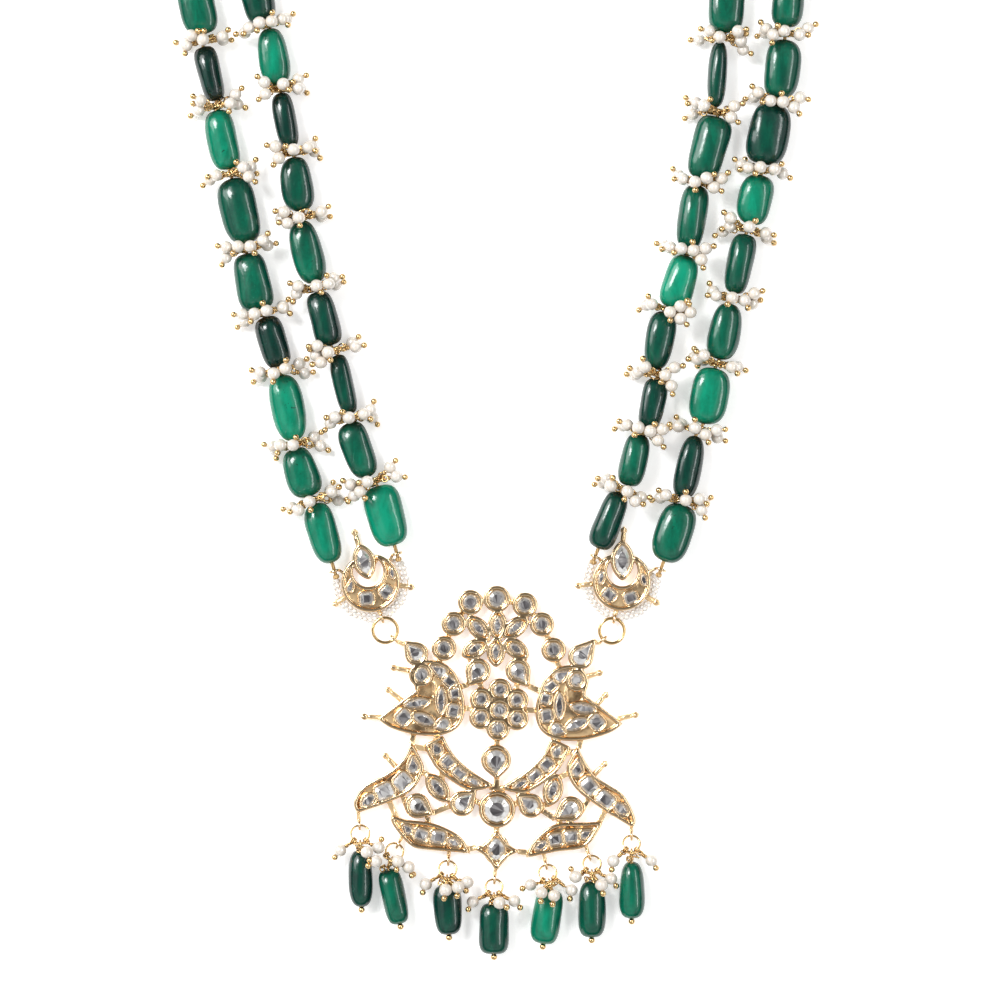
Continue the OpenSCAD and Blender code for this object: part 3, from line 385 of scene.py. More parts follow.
def tube(shape, path, radius, sides, closed=False):
    """Round wire along a path of points, with one radius or a radius a point."""
    path = np.asarray(path, float)
    n = len(path)
    ahead = np.roll(path, -1, 0) - np.roll(path, 1, 0)
    if not closed:
        ahead[0], ahead[-1] = path[1] - path[0], path[-1] - path[-2]
    ahead /= norm(ahead, axis=1)[:, None]
    up = np.cross(ahead[0], (0.31, 0.52, 0.8))
    up /= norm(up)
    rings = []
    for i in range(n):
        up = up - ahead[i] * np.dot(up, ahead[i])
        up /= norm(up)
        side = np.cross(ahead[i], up)
        r = radius[i] if hasattr(radius, "__len__") else radius
        rings.append(np.array([path[i] + r * (up * math.cos(a) + side * math.sin(a))
                               for a in np.arange(sides) * 2 * math.pi / sides]))
    points, faces = rings_mesh(rings, closed)
    if not closed:
        faces += [tuple(range(sides - 1, -1, -1)), tuple(range((n - 1) * sides, n * sides))]
    shape.add(points, faces)


def circle_path(centre, axis, radius, count, start=0.0, turns=1.0, rise=0.0):
    """Points round an axis, count to a turn; rise carries them along it."""
    axis = np.asarray(axis, float) / norm(axis)
    u = np.cross(axis, (0.12, 0.35, 0.93))
    u /= norm(u)
    v = np.cross(axis, u)
    steps = int(count * turns)
    last = steps if turns == 1.0 and not rise else steps + 1
    path = []
    for i in range(last):
        a = start + 2 * math.pi * turns * i / steps
        around = radius * (u * math.cos(a) + v * math.sin(a))
        path.append(np.asarray(centre) + around + axis * rise * (i / steps - 0.5))
    return path


def torus(shape, centre, axis, radius, wire, count, sides):
    """A closed wire ring."""
    tube(shape, circle_path(centre, axis, radius, count), wire, sides, closed=True)


# The plan, as in the solids
BEAD_T, DROP_T, BORE, DROP_BORE = 7.0, 6.4, 1.5, 1.4
THREAD_Z = BEAD_T / 2
PEARL_R, BALL_R, PEARL_REACH = 1.65, 0.82, 2.2
BEAD_GAP, CLASP_W, CLASP_CLEAR, BEAD_CLEAR, HUB_R = 2.0, 9.0, 1.6, 0.4, 1.15
NECK = np.array([-1.25, 190.5])
OUTER_R, INNER_R = 74.5, 60.0
# x, y, width, length, lean to the left, shade from 0 (near black) to 1 (bright)
LEFT_OUTER = [
    (-75, 178.5, 9.5, 14.5, 12, 0.55), (-72, 161.5, 6.25, 13.8, 14, 0.02), (-68.75, 145, 7.75, 15, 12, 0.8),
    (-64.5, 127.25, 10, 16.6, 14, 0.4), (-61.25, 109.5, 9.25, 14.5, 12.5, 0.5),
    (-56.25, 94.5, 7.5, 13, 17, 0.1), (-52.6, 78, 8.5, 16.6, 12, 0.85), (-49, 61.9, 8.75, 12.6, 17, 0.65),
    (-43.6, 46.75, 8.25, 15.4, 16, 0.75)]
LEFT_INNER = [
    (-60.4, 181, 8.75, 13.5, 14, 0.25), (-56.1, 165.75, 7.75, 14.2, 8, 0.75),
    (-53.1, 149.75, 5.75, 14, 10, 0.12), (-50.1, 133.9, 8.25, 13.6, 7, 0.35),
    (-47.6, 116.9, 8.25, 16, 14, 0.55), (-43.6, 100.25, 7.5, 13.8, 15, 0.18),
    (-38.5, 83.9, 5.25, 15, 12, 0.2), (-34.9, 67.5, 8, 14.4, 19, 0.45), (-28, 51.1, 9.75, 15.4, 16, 0.9)]
RIGHT_INNER = [
    (57.25, 178.75, 9.25, 14, -4, 0.5), (54.9, 161.4, 5, 16.4, -4, 0.25), (52.75, 143, 9.5, 16, -15, 0.5),
    (48.6, 125.6, 7.5, 16, -8, 0.5), (45.25, 109.5, 8.75, 13.6, -17, 0.95),
    (40.5, 94.9, 7.5, 14.6, -11, 0.35),
    (38.6, 79, 6.5, 12.8, -12, 0.2), (34, 65, 7, 13.2, -12, 0.5), (27.75, 49.9, 7.25, 15, -21, 0.25)]
RIGHT_OUTER = [
    (72.4, 180.5, 8.5, 14.8, -4, 0.5), (70.9, 162.75, 9.5, 14.6, -6, 0.5),
    (67.6, 146.4, 10.5, 15.4, -11, 0.25), (64.4, 130, 9, 12.6, -12, 0.75),
    (60.5, 114, 7, 15, -11, 0.4), (56.6, 97.1, 8.25, 14.2, -11, 0.5),
    (52.75, 81, 10, 14.2, -12, 0.8), (47.75, 63.25, 6.75, 15.8, -12, 0.15), (44, 46.75, 9.75, 15, -20, 0.55)]
HIDDEN_WIDTHS = (8.5, 7, 9.5, 7.5, 9, 6.75, 8.25)
HIDDEN_SHADES = (0.5, 0.2, 0.7, 0.4, 0.6, 0.15, 0.5)
# One pattern a gap, in turn: side of the strand, reach past the beads or across the middle, place along
# the strand, height, turn of the gold ball, angle of the eye loop round the thread
CLUSTERS = (
    ((-1, 1.1, -1.7, 1.9, 200, 220), (-1, 0.5, 1.3, 5.2, 160, 155), (0, -1.7, 0.2, 7.3, 235, 110),
     (0, 1.7, -0.6, 7.5, 60, 70), (1, 0.5, 1.6, 1.9, 30, -35), (1, 1.5, -1.5, 4.2, -25, 20)),
    ((-1, 0.4, 0.9, 5.2, 160, 150), (-1, 1.7, -2.3, 1.9, 215, 205), (0, 0.3, 0.8, 7.5, 130, 90),
     (1, 0.3, 0.5, 5.2, -40, 40), (1, 1.6, 2.1, 2, 40, 0), (1, 1, -2.6, 1.9, -60, -40)),
    ((-1, 1.3, 1.8, 2.1, 150, 220), (-1, 0.9, -1.2, 3.8, 190, 165), (0, -0.6, -0.6, 7.5, 265, 110),
     (0, 2.9, 0.6, 7.1, 15, 65), (1, 1.2, -1.9, 2.1, -35, -35), (1, 1.6, 1.9, 3.6, 45, 15)),
    ((-1, 0.3, -0.9, 1.9, 195, 215), (-1, 1.3, 1.6, 5.2, 165, 155), (0, -2.3, -0.3, 7.2, 210, 115),
     (0, 1.2, 0.5, 7.6, 95, 75), (1, 0.6, -1.6, 3.9, -50, 20), (1, 1.6, 1.4, 2.2, 10, -30)))
# Rise along the strand on the side of the other one, and shares of pearls that are moved aside and lifted
FACING_RISE, ASIDE_SHARE, LIFTED_SHARE = 0.09, 0.4, 0.55


def bead_axis(lean):
    """Unit vector down a bead that leans to the left by so many degrees."""
    c, s = cos_sin(lean)
    return np.array([s, -c])


def whole_strand(shown, side, count, clasp_r):
    """The rows in view, after beads behind the neck that lie evenly on an arc from the clasp."""
    v = np.array(shown[0][:2]) - NECK
    r0 = norm(v)
    start = math.atan2(side * v[0], v[1]) - (shown[0][3] + BEAD_GAP) / 2 / r0
    stop = math.asin((CLASP_W / 2 + CLASP_CLEAR) / clasp_r)
    pitch = (start - stop) / count
    rows = []
    for k in range(count - 1, -1, -1):
        a = start - (k + 0.5) * pitch
        r = r0 + (clasp_r - r0) * (k + 0.5) / count
        rows.append((NECK[0] + side * r * math.sin(a), NECK[1] + r * math.cos(a), HIDDEN_WIDTHS[k],
                     pitch * r - BEAD_GAP, math.degrees(math.atan2(side * math.cos(a), math.sin(a))),
                     HIDDEN_SHADES[k]))
    return rows + shown


# Coil round the thread in each gap, wire of the three loose loops on it, and how far pearls are drawn in
COIL_R, COIL_TURNS, COIL_REACH, COIL_WIRE, RING_LOOP_WIRE = 1.3, 3.25, 1.6, 0.27, 0.25
STRAND_PULL, DROP_PULL = 0.52, 0.5
# name, rows of beads, side that faces the other strand, height of the pearls on that side
STRANDS = (
    ("left_outer", whole_strand(LEFT_OUTER, -1, 7, OUTER_R), 1, 1.9),
    ("left_inner", whole_strand(LEFT_INNER, -1, 6, INNER_R), -1, 5.3),
    ("right_inner", whole_strand(RIGHT_INNER, 1, 6, INNER_R), 1, 5.3),
    ("right_outer", whole_strand(RIGHT_OUTER, 1, 7, OUTER_R), -1, 1.9))


def signed_power(v, p):
    return np.sign(v) * np.abs(v) ** p


def add_bead(shape, row, thick, bore, draw, rings=26, sides=32):
    """A tumbled bead with a rounded-box outline, a drilled bore and soft lumps."""
    x, y, wid, length, lean, shade = row
    along = draw.uniform(2.7, 3.7)
    deep = draw.uniform(2.4, 3.0)
    section = draw.uniform(2.15, 2.7)
    taper, bend = draw.uniform(-0.07, 0.07), draw.uniform(-0.025, 0.025)
    phases = [draw.uniform(0, 2 * math.pi) for _ in range(4)]
    angles = np.arange(sides) * 2 * math.pi / sides
    c, s = np.cos(angles), np.sin(angles)
    loops, painted_glows = [], []
    for i in range(rings + 1):
        u = -math.cos(math.pi * i / rings)
        share = max(1 - abs(u) ** along, 0) ** (1 / along)
        share_t = max(1 - abs(u) ** deep, 0) ** (1 / deep)
        half_w = max(wid / 2 * share * (1 + taper * u) * 0.985, bore / 2)
        half_t = max(thick / 2 * share_t, bore / 2)
        lump = 0.022 * np.sin(2 * angles + phases[0] + 1.3 * u)
        lump = lump + 0.018 * np.sin(3 * angles + phases[1] - 2 * u)
        lump = 1 + (lump + 0.02 * math.sin(2.6 * u + phases[2]) - 0.02) * min(share * 1.3, 1)
        px = half_w * signed_power(c, 2 / section) * lump + bend * wid * (1 - u * u)
        pz = half_t * signed_power(s, 2 / section) * lump
        loops.append(np.column_stack([px, np.full(sides, u * length / 2), pz]))
        # Painted light: a glow, brightest a little off the bead's middle and fading to its edges and ends
        painted_glows.append(np.clip(1 - (px / (wid / 2) + 0.18) ** 2 - 0.5 * (u + 0.12) ** 4, 0, 1))
    inner = [np.column_stack([bore / 2 * c, np.full(sides, y0 * length / 2), bore / 2 * s])
             for y0 in (0.9, 0, -0.9)]
    points, faces = rings_mesh(loops + inner, loop=True)
    painted_glows = np.concatenate(painted_glows + [np.zeros(sides)] * 3)
    lean_c, lean_s = cos_sin(lean)
    turn = np.array([[lean_c, -lean_s], [lean_s, lean_c]])
    points[:, :2] = points[:, :2] @ turn.T + (x, y)
    points[:, 2] = np.maximum(points[:, 2] + thick / 2, 0.02)
    tints = np.column_stack([np.full(len(points), shade), painted_glows, np.full(len(points), draw.random())])
    shape.add(points, faces, tints)


# A pearl's pin: its wire, the eye loop, the collar at the gold ball, and the winding of a long shaft
HEAD_PIN_WIRE, EYE_R, EYE_WIRE, COLLAR_R, COLLAR_ENDS = 0.25, 0.62, 0.23, 0.36, (1.3, 1.75)
LONG_SHAFT, WOUND_MOST, WOUND_R, WOUND_WIRE, WOUND_PITCH = 1.4, 1.3, 0.4, 0.19, 0.38


def add_pearl(pearls, gold, start, at, turn, draw):
    """A pearl on its head pin: eye loop, wraps, pearl and ball."""
    flat, up = cos_sin(18 if at[2] > 6 else 0)
    c, s = cos_sin(turn)
    out = np.array([c * flat, s * flat, up])
    size = PEARL_R * draw.uniform(0.95, 1.0)
    squash = (1, draw.uniform(0.96, 1), draw.uniform(0.95, 1))
    ball(pearls, at, size, 18, squash, (draw.random(), 0, 0))
    ball(gold, at + PEARL_REACH * out, BALL_R * draw.uniform(0.92, 1.0), 12)
    tube(gold, [at + out * far for far in COLLAR_ENDS], COLLAR_R, 6)
    way = at - start
    length = norm(way)
    way /= length
    shaft = length - size * 0.9
    side = np.cross(way, (draw.uniform(-1, 1), draw.uniform(-1, 1), draw.uniform(0.4, 1)))
    side /= norm(side)
    sag = min(shaft * 0.1, 0.35)
    path = [start + way * length * t + side * sag * math.sin(math.pi * t)
            for t in (0, 0.2, 0.4, 0.6, 0.8, 0.95)]
    tube(gold, path, HEAD_PIN_WIRE, 5)
    torus(gold, start + way * 0.35 + side * 0.15, side, EYE_R, EYE_WIRE, 12, 5)
    if shaft > LONG_SHAFT:
        stretch = min(shaft - 0.9, WOUND_MOST)
        middle = start + way * (0.95 + stretch / 2) + side * sag * 0.6
        wound = circle_path(middle, way, WOUND_R, 8, draw.uniform(0, 6), stretch / WOUND_PITCH, stretch)
        tube(gold, wound, WOUND_WIRE, 4)


# A bead's skin as a rounded box, by powers along, across and up, and how far gold balls keep from it
BEAD_POWERS, BALL_CLEAR = np.array([3.2, 2.4, 2.4]), 0.6


def clearance(p, bead):
    """Rough distance from a point to a bead's skin, and the way out of it."""
    axis = bead_axis(bead[4])
    across = np.array([-axis[1], axis[0]])
    off = p[:2] - bead[:2]
    half = np.array([bead[3] / 2, bead[2] / 2, BEAD_T / 2])
    local = np.array([off @ axis, off @ across, p[2] - BEAD_T / 2]) / half
    value = np.sum(np.abs(local) ** BEAD_POWERS)
    slope = BEAD_POWERS * np.abs(local) ** (BEAD_POWERS - 1) * np.sign(local) / half
    steep = norm(slope) + 1e-9
    way = np.array([*(axis * slope[0] + across * slope[1]), slope[2]]) / steep
    return (value - 1) / steep * (0.55 if value > 1 else 1), way


# Pearls rest this far apart, this far from a bead's skin, and between these heights
PEARL_APART, PEARL_OFF_BEAD, PEARL_LOW, PEARL_HIGH, SETTLE_STEPS = 3.15, 1.45, 1.6, 8.6, 60


def settle(pearls, hub, beads, pull):
    """Pull a cluster's pearls in to the thread until they lie on the beads and on each other."""
    goals = [np.array([*(hub[:2] + (p[:2] - hub[:2]) * pull), p[2]]) for p in pearls]
    for _ in range(SETTLE_STEPS):
        for i, p in enumerate(pearls):
            p += (goals[i] - p) * 0.08
            for q in pearls[i + 1:]:
                gap = p - q
                d = norm(gap)
                if d < PEARL_APART:
                    gap *= (PEARL_APART - d) / 2 / d
                    p += gap
                    q -= gap
            for bead in beads:
                far, way = clearance(p, bead)
                if far < PEARL_OFF_BEAD:
                    p += way * min(PEARL_OFF_BEAD - far, 0.6) * 0.6
            p[2] = min(max(p[2], PEARL_LOW), PEARL_HIGH)


def free_turn(at, turn, beads, others):
    """The turn nearest to the wanted one at which the gold ball is clear."""
    for step in (0, 25, -25, 50, -50, 80, -80, 120, -120, 180):
        tip = at + PEARL_REACH * np.array([*cos_sin(turn + step), 0.15])
        off_beads = all(clearance(tip, b)[0] > BALL_CLEAR for b in beads)
        if off_beads and all(norm(tip - q) > PEARL_REACH for q in others):
            return turn + step
    return turn


# Along the pin from the pearl's middle: two coils and the loop, which stands a little higher
WRAP_PLACES, WRAP_R, WRAP_WIRE = (1.85, 2.25), 0.5, 0.2
LOOP_PLACE, LOOP_LIFT = 2.9, 0.9


def wrap_pin(gold, at, start, draw):
    """Two coils round the pin where it leaves the pearl, and the loose loop it is hung by."""
    way = start - at
    way /= norm(way)
    for far in WRAP_PLACES:
        torus(gold, at + way * far, way, WRAP_R, WRAP_WIRE, 10, 4)
    tilt = (draw.uniform(-0.8, 0.8), draw.uniform(-0.8, 0.8), 1.0)
    loop = at + way * LOOP_PLACE + (0, 0, LOOP_LIFT)
    torus(gold, loop, tilt, draw.uniform(0.75, 1.0), WRAP_WIRE, 12, 5)


def strand_pieces(index, name, rows, facing, level):
    """The beads, pearls and gold pins of one strand."""
    draw = random.Random(SEED + index)
    wraps = random.Random(SEED + 20 + index)
    beads = Shape()
    for row in rows:
        add_bead(beads, row, BEAD_T, BORE, draw)
    beads.piece(name + "_tumbled_beads", EMERALD, "emerald_bead", [name + "_beads"])
    pearls, gold = Shape(), Shape()
    for i in range(len(rows) - 1):
        a, b = rows[i], rows[i + 1]
        flip = -1 if i % 3 == 1 else 1
        foot = np.array(a[:2]) + bead_axis(a[4]) * a[3] / 2
        head = np.array(b[:2]) - bead_axis(b[4]) * b[3] / 2
        mid = (foot + head) / 2
        lean = (a[4] + b[4]) / 2
        along = -bead_axis(lean)
        cross = np.array([along[1], -along[0]])
        edge = max(a[2], b[2]) / 2 + abs(np.dot(head - foot, cross)) / 2 + BEAD_CLEAR

        def local(px, py, pz):
            return np.array([*(mid + cross * px + along * py), pz])

        places, turns, starts = [], [], []
        for side, reach, place_y, height, turn, hub in CLUSTERS[(i + index) % 4]:
            side *= flip
            if side == 0 and draw.random() < ASIDE_SHARE:
                side, height = draw.choice((-1, 1)), 6.0
            beside = side * (edge + reach * (0.6 if side == facing else 1))
            across = beside if side else flip * reach
            if side == facing:
                height = level + FACING_RISE * place_y
            if side and draw.random() < LIFTED_SHARE:
                height += draw.uniform(1.5, 4.0)
            stray = 2.4 if height > 4.5 else 0.6
            across += draw.uniform(-0.5, 0.5)
            places.append(local(across, place_y * 1.1 + draw.uniform(-stray, stray), height))
            turned_out = turn if flip > 0 else 180 - turn
            turns.append(turned_out + draw.uniform(-25, 25) + lean)
            c, s = cos_sin(hub)
            starts.append(local(flip * HUB_R * c, 0, THREAD_Z + HUB_R * s))
        settle(places, local(0, 0, THREAD_Z), (a, b), STRAND_PULL)
        for j, at in enumerate(places):
            turn = free_turn(at, turns[j], (a, b), [q for q in places if q is not at])
            add_pearl(pearls, gold, starts[j], at, turn, draw)
            wrap_pin(gold, at, starts[j], wraps)
        axis = np.array([*along, 0])
        gap = max(norm(head - foot), 1.2)
        coil = circle_path(local(0, 0, THREAD_Z), axis + (0.06, 0.02, 0.1), COIL_R, 16, draw.uniform(0, 6),
                           COIL_TURNS, min(gap * 0.6, COIL_REACH))
        tube(gold, coil, COIL_WIRE, 5)
        for k in (-1, 0, 1):
            tilt = axis + [draw.uniform(-0.6, 0.6), draw.uniform(-0.6, 0.6), draw.uniform(-0.5, 0.5)]
            at = local(0.9 * k, 0.15 * k, THREAD_Z + 0.7)
            torus(gold, at, tilt, draw.uniform(1.3, 2.0), RING_LOOP_WIRE, 16, 5)
    pearls.piece(name + "_strung_pearls", PEARL, "pearl", [name + "_pearls"])
    gold.piece(name + "_pins", WIRE, "gold", [name + "_pearls"])


for index, strand in enumerate(STRANDS):
    strand_pieces(index, *strand)

# Drops: ring centre x, y, outer radius, bead x, y, width, length, lean, shade
DROPS = [
    (-34.5, -28.6, 2.6, -34.25, -39.6, 6.25, 14.2, 1, 0.22),
    (-25.9, -33, 2.5, -26.1, -44.1, 6.25, 14, 13, 0.55),
    (-12.6, -37.4, 2.5, -12.6, -47.4, 7.25, 12.5, 3, 0.22), (-1, -41.9, 2.4, -1, -52.1, 8, 12.8, 0, 0.33),
    (12.4, -38.4, 2.5, 12.25, -49.1, 7.75, 13.8, -8, 0.78), (23.5, -36.1, 2.5, 23.4, -47.3, 7, 14, 0, 0.45),
    (33.4, -31, 2.4, 33.4, -42.5, 6.6, 14.2, 0, 0.6)]
# Pearls of each drop: x, y, height, turn of the gold ball
DROP_PEARLS = [
    [(-39.2, -34, 4, -126), (-32.2, -34.6, 7.4, -70), (-30.3, -33.2, 4.6, 70), (-30.3, -37.8, 6.6, -150)],
    [(-22.2, -38.6, 3.7, -60), (-20.4, -37.3, 5, -70), (-23.6, -35.4, 5.9, -100)],
    [(-17.8, -43.3, 3.8, -110), (-12.7, -45, 8.2, -100), (-9, -43.2, 6.8, -95), (-6.4, -42, 4, -100)],
    [(-6.6, -47.9, 4, -120), (1.2, -46.8, 7.3, -30), (5.4, -47, 4.6, -50)],
    [(7.4, -43.2, 3.9, -155), (9.9, -45, 7.7, -95), (13.7, -46.4, 8.1, -100), (18.4, -44.6, 4, -100)],
    [(18.9, -40.4, 4.8, 120), (26.4, -42.8, 7.3, -80), (28.2, -41.4, 3.8, -55)],
    [(28.8, -36.6, 5, -100), (38.2, -36.6, 4.2, -60)]]
RING_WIRE, RING_TILT, RING_LIFT, SADDLE_TURN, PIN_LOOP_R = 0.27, 22.0, 2.35, 42.0, 0.75
PIN_WIRE, PIN_PAST_BEAD, SMALL_LOOPS, SMALL_WIRE = 0.23, 0.75, 7, 0.19
# Winding of the pin's neck, then the saddle: its loops on the ring, its arch and the winding of that
NECK_WOUND_R, NECK_WOUND_WIRE = 0.4, 0.15
SADDLE_LOOP_R, SADDLE_LOOP_WIRE = 0.72, 0.2
ARCH_RISE, ARCH_WIRE, ARCH_WOUND_R, ARCH_WOUND_WIRE = 3.6, 0.22, 0.42, 0.17


def ring_plane(x, y, top):
    """Matrix from a drop ring's own plane, tilted towards the top of the bead, to the plan."""
    turn = math.atan2(top[1] - y, top[0] - x)
    return (Matrix.Translation((x, y, RING_LIFT)) @ Matrix.Rotation(turn, 4, "Z")
            @ Matrix.Rotation(-math.radians(RING_TILT), 4, "Y"))


def drop_pieces():
    """The seven drops: beads, rings with head pins, and the pearls on a wire saddle over each ring."""
    draw = random.Random(SEED + 10)
    beads, pearls, gold, rings = Shape(), Shape(), Shape(), Shape()
    for (x, y, outer, *bead), rows in zip(DROPS, DROP_PEARLS):
        length, lean = bead[3:5]
        top = np.array(bead[:2]) - bead_axis(lean) * length / 2
        u, v, ring_axis, centre = np.array(ring_plane(x, y, top))[:3].T
        ring_r = outer - RING_WIRE

        def on_ring(r, turn):
            c, s = cos_sin(turn)
            return centre + r * (u * c + v * s)

        def loop_axis(turn):
            c, s = cos_sin(turn)
            return v * c - u * s

        add_bead(beads, bead, DROP_T, DROP_BORE, draw)
        torus(rings, centre, ring_axis, ring_r, RING_WIRE, 48, 10)
        down = np.array([*bead_axis(lean), 0])
        head = np.array([*top, DROP_T / 2])
        foot = head + down * (length + PIN_PAST_BEAD)
        torus(rings, on_ring(ring_r, 0), loop_axis(0), PIN_LOOP_R, PIN_WIRE, 24, 8)
        eye = on_ring(ring_r + PIN_LOOP_R, 0)
        middle = (eye + head) / 2
        tube(rings, [eye, middle + (0, 0, 0.1), head + down * 0.2, foot], PIN_WIRE, 8)
        ball(rings, foot, BALL_R, 16)
        neck = head - eye
        neck_length = norm(neck)
        if neck_length > 0.5:
            wound = circle_path(middle, neck, NECK_WOUND_R, 12, 0, neck_length / 0.4, neck_length * 0.8)
            tube(rings, wound, NECK_WOUND_WIRE, 5)
        ends = [on_ring(ring_r + 0.8, s * SADDLE_TURN) for s in (-1, 1)]
        over = (ends[0] + ends[1]) / 2 + (0, 0, ARCH_RISE)
        for s, end in zip((-1, 1), ends):
            for j in (-1, 0, 1):
                turn = s * (SADDLE_TURN + 9 * j)
                tilt = loop_axis(turn) + (0.15 * j, 0.1, 0.12 * j)
                torus(gold, on_ring(ring_r, turn), tilt, SADDLE_LOOP_R, SADDLE_LOOP_WIRE, 18, 6)
            arch = [end + (over - end) * t + (0, 0, 0.5 * math.sin(math.pi * t))
                    for t in np.linspace(0, 1, 7)]
            tube(gold, arch, ARCH_WIRE, 6)
        tube(gold, circle_path(over, ends[1] - ends[0], ARCH_WOUND_R, 12, 0, 3, 1.1), ARCH_WOUND_WIRE, 5)
        for _ in range(SMALL_LOOPS):
            at = middle + [draw.uniform(-1.6, 1.6), draw.uniform(-0.9, 0.9), draw.uniform(0.2, 2.4)]
            torus(gold, at, [draw.uniform(-1, 1), draw.uniform(-1, 1), draw.uniform(-0.6, 0.6)],
                  draw.uniform(0.5, 0.8), SMALL_WIRE, 16, 6)
        places = [np.array(row[:3], float) for row in rows]
        settle(places, head, [bead], DROP_PULL)
        for (*_, height, turn), at in zip(rows, places):
            start = over if height > 5 else min(ends, key=lambda end: norm(at - end))
            add_pearl(pearls, gold, start, at, turn, draw)
    beads.piece("drop_tumbled_beads", EMERALD, "emerald_bead", [f"drop_bead_{k}" for k in range(1, 8)])
    rings.piece("drop_rings_and_pins", WIRE, "gold",
                [f"drop_{part}_{k}" for part in ("ring", "pin") for k in range(1, 8)])
    pearls.piece("drop_strung_pearls", PEARL, "pearl", ["drop_pearls"])
    gold.piece("drop_pearl_wires", WIRE, "gold", ["drop_pearls"])


drop_pieces()

# Crescents: centre, centre of the hole, middle of the open top and half of its width, as angles,
# then the first and last angle of the seed pearls
CRESCENTS = [
    ((-31.9, 34.25), (-32.5, 37.1), 102, 38, 172, 400), ((30.9, 34.6), (31.1, 37.25), 88, 38, 140, 368)]
CRESCENT_R, HOLE_R = 7.25, 3.9
# Short tubes: x and y of the tip and of the root
STUBS = [
    (-33.6, 0.75, -29, 0.6), (-27.5, 7.5, -23.8, 4.6), (-26.25, 13, -21.6, 12.2), (-28.2, -9, -25, -12.4),
    (34.5, 1.25, 30, 0.2), (27, 6.25, 24.2, 3.2), (25.5, 11.75, 21.6, 10.6), (26.75, -11, 23.4, -14.4),
    (-40.75, 29, -37, 31.4), (-21.7, 33.2, -26, 33.8), (-35.9, 47, -34.7, 43), (20, 33.5, 24.8, 34.2),
    (39.75, 29.25, 36, 31.4), (31.5, 47.5, 31.2, 44)]
LINK_RINGS = [("left_link_ring", -28.25, 22.4), ("right_link_ring", 28.5, 22.25)]
LINK_R, LINK_WIRE, LINK_Z = 3.1, 0.42, 1.5
# Two strings of seeds: distance out from the crescent, and shift along it in seeds
SEED_STRINGS = ((1.95, 0.0), (0.85, 0.5))
SEED_R, SEED_PITCH, SEED_WAVE, SEED_Z, SEED_WIRE, STUB_CLEAR = 0.62, 1.98 * 0.62, 0.14, 1.0, 0.12, 1.3


def seed_pearls():
    """The two strings of seed pearls round each crescent, their wires and the link rings."""
    draw = random.Random(SEED + 20)
    seeds, wires = Shape(), Shape()
    for centre, *_, first, last in CRESCENTS:
        for out, shift in SEED_STRINGS:
            path = []
            r = CRESCENT_R + out
            count = int(math.radians(last - first) * r / SEED_PITCH)
            for i in range(count):
                c, s = cos_sin(first + (last - first) * (i + shift) / (count - 1))
                bulge = r + SEED_WAVE * math.sin(i * 1.7 + shift)
                p = np.array([centre[0] + bulge * c, centre[1] + bulge * s, SEED_Z])
                path.append(p)
                if min(norm(p[:2] - row[:2]) for row in STUBS) < STUB_CLEAR:
                    continue
                ball(seeds, p, SEED_R * draw.uniform(0.92, 1.04), 14, (1, 1, draw.uniform(0.85, 1)),
                     (draw.random() * 0.5, 0, 0))
            tube(wires, path, SEED_WIRE, 5)
    seeds.piece("crescent_seed_pearls", SEED_PEARL, "pearl")
    for name, x, y in LINK_RINGS:
        torus(wires, (x, y, LINK_Z), (0, 0, 1), LINK_R, LINK_WIRE, 64, 12)
    wires.piece("link_rings_and_seed_wires", WIRE, "gold", [row[0] for row in LINK_RINGS])


seed_pearls()

# Soldered gold. Round settings: x, y, outer diameter
ROUNDS = [
    (-13.5, 17.9, 6.1), (-11.1, 24, 6.1), (-6.9, 29.4, 6.2), (-0.25, 30.25, 6.6), (6.75, 28.75, 6.2),
    (11, 23.9, 6), (13.9, 17.5, 6.1), (0.5, 7.5, 5.7), (-4.15, 5.15, 5.7), (4.75, 4.9, 5.7), (0.4, 2.4, 5.9),
    (-4.3, 0.5, 5.7), (4.75, 0.25, 5.7), (0, -2.25, 5.8), (-19.25, 11.25, 6), (19.7, 9.9, 5.6),
    (-0.25, -22.4, 9.1)]
# Marquise settings: x, y, length, width, turn
MARQUISES = [
    (-0.1, 23.75, 8.2, 4.6, 90), (-4.9, 22.9, 8.2, 4.6, -48), (4.4, 23.1, 8.2, 4.6, 37),
    (-5.75, 17.75, 7.6, 4.6, 30), (4.5, 17.75, 7.6, 4.6, -36), (-0.5, 17, 7.75, 4.6, 90),
    (-15.1, -17, 9, 4.9, -52), (13.75, -17.6, 8.4, 5, 74)]
CRESCENT_MARQUISES = [(-33.5, 39.6, 9.25, 5.5, -74), (31.1, 39.9, 10.25, 5.7, 90)]
# Pear settings: x and y of the round end, its radius, x and y of the tip
PEARS = [
    (-5, 12.25, 3.1, -7.5, 8.4), (5, 12.25, 3.1, 7.75, 8.1), (-20.4, 16.5, 2.9, -23.5, 19.75),
    (20.7, 15.75, 3.1, 24.5, 20.3), (-20.25, -21.5, 3.1, -16, -23.75), (-9, -21, 3.1, -5.3, -17.5),
    (8.25, -21.5, 3, 4.4, -18.5), (18.25, -22.25, 3.1, 13.75, -25), (-0.5, -10, 3.7, -0.25, -14.85)]
